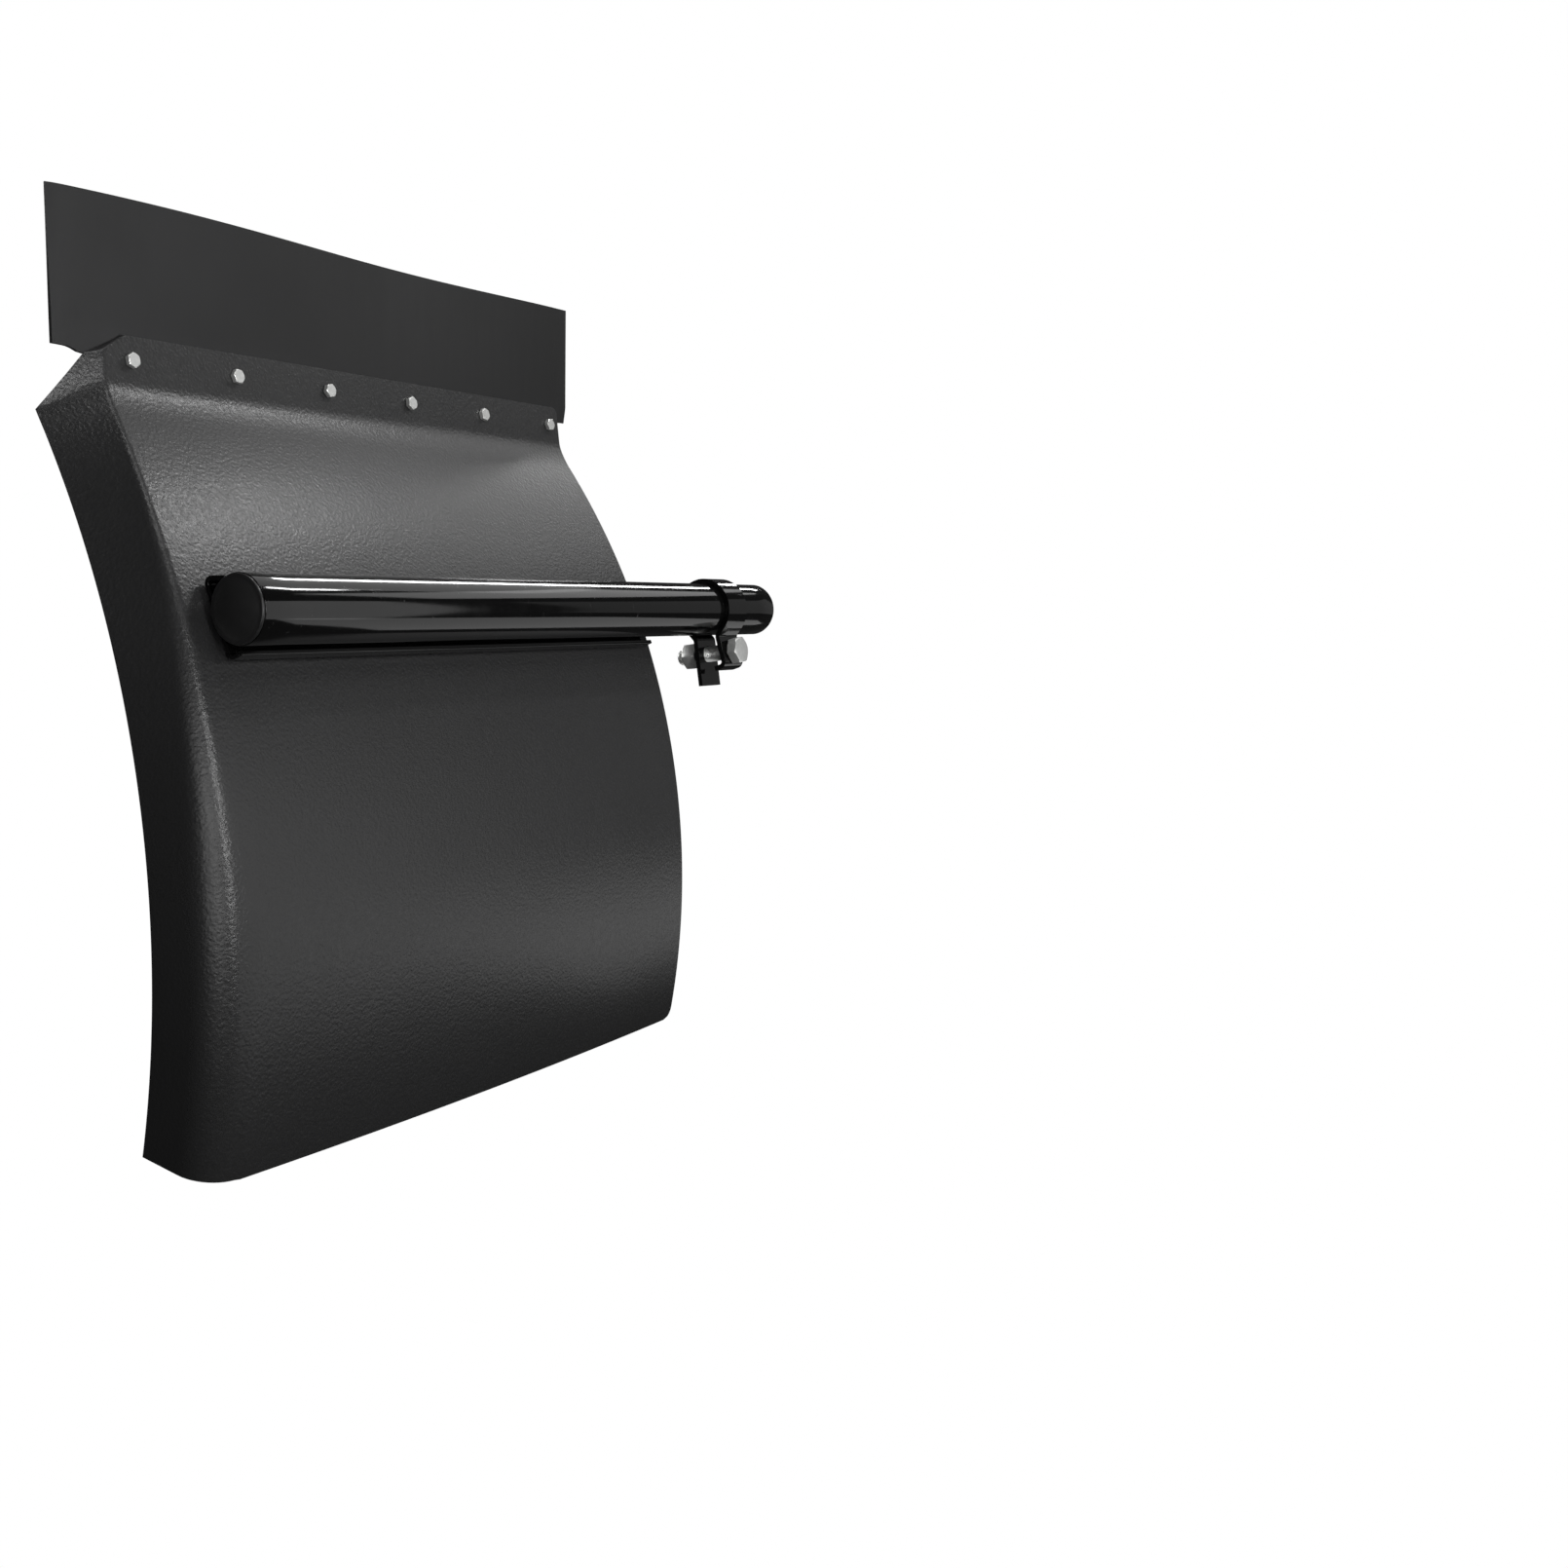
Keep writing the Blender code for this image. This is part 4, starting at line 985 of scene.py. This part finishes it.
def carriage_bolt(name, length):
    radius = M8["thread"] / 2
    head = CARRIAGE_HEAD_RADIUS
    dome = (head ** 2 + M8["head"] ** 2) / (2 * M8["head"])
    widest = asin(min(1.0, head / dome))
    turns = [widest * i / 10 for i in range(11)]
    profile = [(dome * sin(turn), dome * cos(turn) - dome + M8["head"]) for turn in turns]
    profile[0] = (0.0, M8["head"])
    profile[-1] = (head, 0.0006)
    profile += [(head - 0.0004, 0.0), (radius * 0.9, 0.0), (0.0, 0.0)]
    bolt = turned(name, profile, ZINC, 48)
    rod_mesh = threaded_rod(radius, M8["pitch"], -length, M8["head"] * 0.4, 24, -0.008)
    boolean(bolt, new_object("rod", rod_mesh, ZINC), "UNION")
    bolt.data.shade_smooth()
    bolt.data.set_sharp_from_angle(angle=radians(35))
    return bolt


def build_channel_fasteners():
    places = carriage_places()
    numbers = range(1, CARRIAGE_COUNT + 1)
    out = PLATE_OUT
    head_at = CHANNEL_THICK / 2 + GAP
    washer_at = CHANNEL_THICK / 2 + GAP + WALL + 0.0014
    nut_at = washer_at + M8["washer"][1] + GAP
    bolt = carriage_bolt("m8_carriage_bolt", head_at + nut_at + M8["nut"] + 0.003)
    copies(bolt, [f"m8_carriage_bolt_{k}" for k in numbers],
           [axis_matrix(p + out * head_at, out) for p in places],
           "fender", "zinc_steel", [f"channel_bolt_{k}" for k in numbers])
    copies(washer("m8_washer", M8), [f"m8_washer_{k}" for k in numbers],
           [axis_matrix(p - out * washer_at, -out) for p in places],
           "fender", "zinc_steel", [f"channel_washer_{k}" for k in numbers])
    copies(nut("m8_nut", M8, 32), [f"m8_nut_{k}" for k in numbers],
           [axis_matrix(p - out * nut_at, -out, radians(23 * k)) for k, p in enumerate(places)],
           "fender", "zinc_steel", [f"channel_nut_{k}" for k in numbers])


# ------------------------------------------------------------------------------------------ clamp

def strap_path():
    radius = TUBE_RADIUS + GAP + STRAP_THICK / 2
    steps = 72
    around = []
    for i in range(steps + 1):
        angle = FRONT_LEAVE + (2 * pi - FRONT_LEAVE - BACK_LEAVE) * i / steps
        around.append((-radius * sin(angle), -radius * cos(angle)))
    front = rounded_path(FRONT_LEG + [around[0]], FRONT_LEG_RADII)
    back = rounded_path(
        [around[-1], (BACK_LEG_Y, BACK_LEG_BEND), (BACK_LEG_Y, BACK_LEG_BOTTOM)], [BACK_LEG_RADIUS]
    )
    return [tuple(p) for p in front[:-1]] + around + [tuple(p) for p in back[1:]]


CLAMP = Matrix.Rotation(-CLAMP_SWING, 4, "X")


def clamp_bolt_frame(y):
    return CLAMP @ Matrix.Translation((0.0, y, -CLAMP_BOLT_DROP)) @ Matrix.Rotation(pi / 2, 4, "X")


def build_clamp():
    half = STRAP_WIDTH / 2
    strap = bar("bent_strap", strap_path(), -half, half, STRAP_THICK, PAINT, 4)
    forward = Matrix.Translation((0.0, 0.0, -CLAMP_BOLT_DROP)) @ Matrix.Rotation(pi / 2, 4, "X")
    boolean(strap, cylinder("hole", CLAMP_HOLE_RADIUS, 0.09, forward, 48))
    bevel(strap, 0.0007, 3)
    applied(strap)
    strap.matrix_world = CLAMP
    seat(strap, "clamp", "gloss_paint", "clamp_strap")

    bolt = hex_bolt("m16_clamp_bolt", M16, CLAMP_BOLT_TAIL_Y - CLAMP_HEAD_Y, 48, 0.004)
    bolt.matrix_world = clamp_bolt_frame(CLAMP_HEAD_Y) @ Matrix.Rotation(radians(38), 4, "Z")
    seat(bolt, "clamp", "zinc_steel", "clamp_bolt")

    thickness = M16["washer"][1]
    washer_y = BACK_LEG_Y + STRAP_THICK / 2 + GAP
    ring = washer("m16_lock_washer", M16, DARK, 64)
    slit = bmesh.new()
    bmesh.ops.create_cube(slit, size=1.0)
    bmesh.ops.scale(slit, vec=(0.0016, 0.012, 0.02), verts=slit.verts)
    cutter = new_object("slit", slit, DARK)
    turn = Matrix.Rotation(radians(200), 4, "Z") @ Matrix.Translation((0.0, 0.0108, thickness / 2))
    cutter.matrix_world = turn @ Matrix.Rotation(radians(25), 4, "Y")
    boolean(ring, cutter)
    ring.matrix_world = clamp_bolt_frame(washer_y + thickness)
    seat(ring, "clamp_washer", "zinc_steel", "clamp_lock_washer")

    big_nut = nut("m16_nut", M16, 56)
    nut_y = washer_y + thickness + GAP
    big_nut.matrix_world = clamp_bolt_frame(nut_y + M16["nut"]) @ Matrix.Rotation(radians(30), 4, "Z")
    seat(big_nut, "clamp_nut_body", "zinc_steel", "clamp_nut")


build_shell()
build_strip()
build_sheet()
build_tube()
build_channel()
build_flange_fasteners()
build_channel_fasteners()
for piece, body, slot, node in made:
    seat(piece, body, slot, node)
build_clamp()


# ---------------------------------------------------------------------------- camera, lights, floor

def build_camera():
    data = bpy.data.cameras.new("camera")
    data.lens = 40.25
    data.sensor_width = 36.0
    data.clip_end = 60.0
    camera = bpy.data.objects.new("camera", data)
    camera.location = (-1.5015, -0.9086, -0.0010)
    camera.rotation_euler = (radians(84.35), 0.0, radians(-61.16))
    SCENE.collection.objects.link(camera)
    SCENE.camera = camera


def softbox(name, direction, distance, width, height, strength, target=OBJECT_MIDDLE):
    """An area light facing the target from this direction. Strength is its radiance, whatever its size."""
    data = bpy.data.lights.new(name, "AREA")
    data.shape = "RECTANGLE"
    data.size = width
    data.size_y = height
    data.energy = strength * width * height * pi
    light = bpy.data.objects.new(name, data)
    way = Vector(direction).normalized()
    light.location = Vector(target) + way * distance
    light.rotation_euler = (-way).to_track_quat("-Z", "Y").to_euler()
    light.visible_camera = False
    SCENE.collection.objects.link(light)


def strip_light(name, place, length, thickness, strength, aim):
    """An area light with its long side along X, facing the (y, z) aim."""
    way = Vector((0.0, place[1] - aim[0], place[2] - aim[1])).normalized()
    softbox(name, way, 0.0, length, thickness, strength, place)


def stage_piece(obj):
    """Shows to the camera only, so it lights nothing and is mirrored in nothing."""
    obj.visible_glossy = False
    obj.visible_diffuse = False
    obj.visible_shadow = False


def white_paper():
    material = bpy.data.materials.new("white_paper")
    material.use_nodes = True
    shader = material.node_tree.nodes["Principled BSDF"]
    shader.inputs["Base Color"].default_value = (0.0, 0.0, 0.0, 1.0)
    shader.inputs["Roughness"].default_value = 0.9
    shader.inputs["Specular IOR Level"].default_value = 0.0
    shader.inputs["Emission Color"].default_value = (1.0, 1.0, 1.0, 1.0)
    shader.inputs["Emission Strength"].default_value = 1.0
    return material


def build_studio():
    SCENE.view_settings.view_transform = "Standard"
    world = bpy.data.worlds.new("studio")
    world.use_nodes = True
    tree = world.node_tree
    back = tree.nodes["Background"]
    path = tree.nodes.new("ShaderNodeLightPath")
    level = tree.nodes.new("ShaderNodeMapRange")
    level.inputs["To Min"].default_value = AMBIENT
    level.inputs["To Max"].default_value = 1.0
    tree.links.new(path.outputs["Is Camera Ray"], level.inputs["Value"])
    tree.links.new(level.outputs["Result"], back.inputs["Strength"])
    back.inputs["Color"].default_value = (1.0, 1.0, 1.0, 1.0)
    SCENE.world = world
    mesh = bmesh.new()
    bmesh.ops.create_circle(mesh, cap_ends=True, segments=64, radius=14.0)
    floor = new_object("floor", mesh, white_paper())
    floor.location = (-0.3, 0.0, FLOOR_Z)
    stage_piece(floor)

    strip_light("rear_strip", (1.75, 0.47, 1.34), 2.2, 0.20, 20.0, (0.0, 0.0))
    strip_light("face_highlight", (0.17, -0.37, 0.80), 0.40, 0.07, 30.0, (0.08, 0.085))
    strip_light("floor_glow", (0.45, -0.42, -0.415), 1.0, 0.6, 0.85, (-0.42, 0.6))
    softbox("overhead", (0.60, 0.00, 0.80), 2.4, 1.6, 1.6, 0.85)
    softbox("face_glow", (0.80, -0.34, 0.50), 1.8, 1.0, 0.4, 1.4, (-0.25, 0.06, 0.06))
    softbox("front_right", (0.40, -0.90, -0.03), 2.4, 2.2, 2.0, 0.85)
    softbox("low_right", (0.90, -0.40, 0.10), 2.4, 1.0, 1.0, 0.2)
    softbox("front_left", (-0.65, -0.75, 0.10), 2.4, 1.0, 1.0, 2.0)
    softbox("skirt_light", (-0.77, -0.62, -0.08), 0.65, 0.4, 0.4, 1.6, (-0.65, 0.05, -0.05))
    softbox("ridge_strip_low", (-0.14, -0.96, 0.22), 1.5, 0.12, 0.9, 24.0, (-0.65, 0.0, -0.14))
    softbox("ridge_strip_high", (0.02, -0.50, 0.86), 1.4, 0.12, 0.8, 9.0, (-0.63, 0.07, 0.08))
    softbox("rear_fill", (0.2, 0.95, 0.35), 2.6, 1.6, 1.2, 5.0)


build_camera()
build_studio()
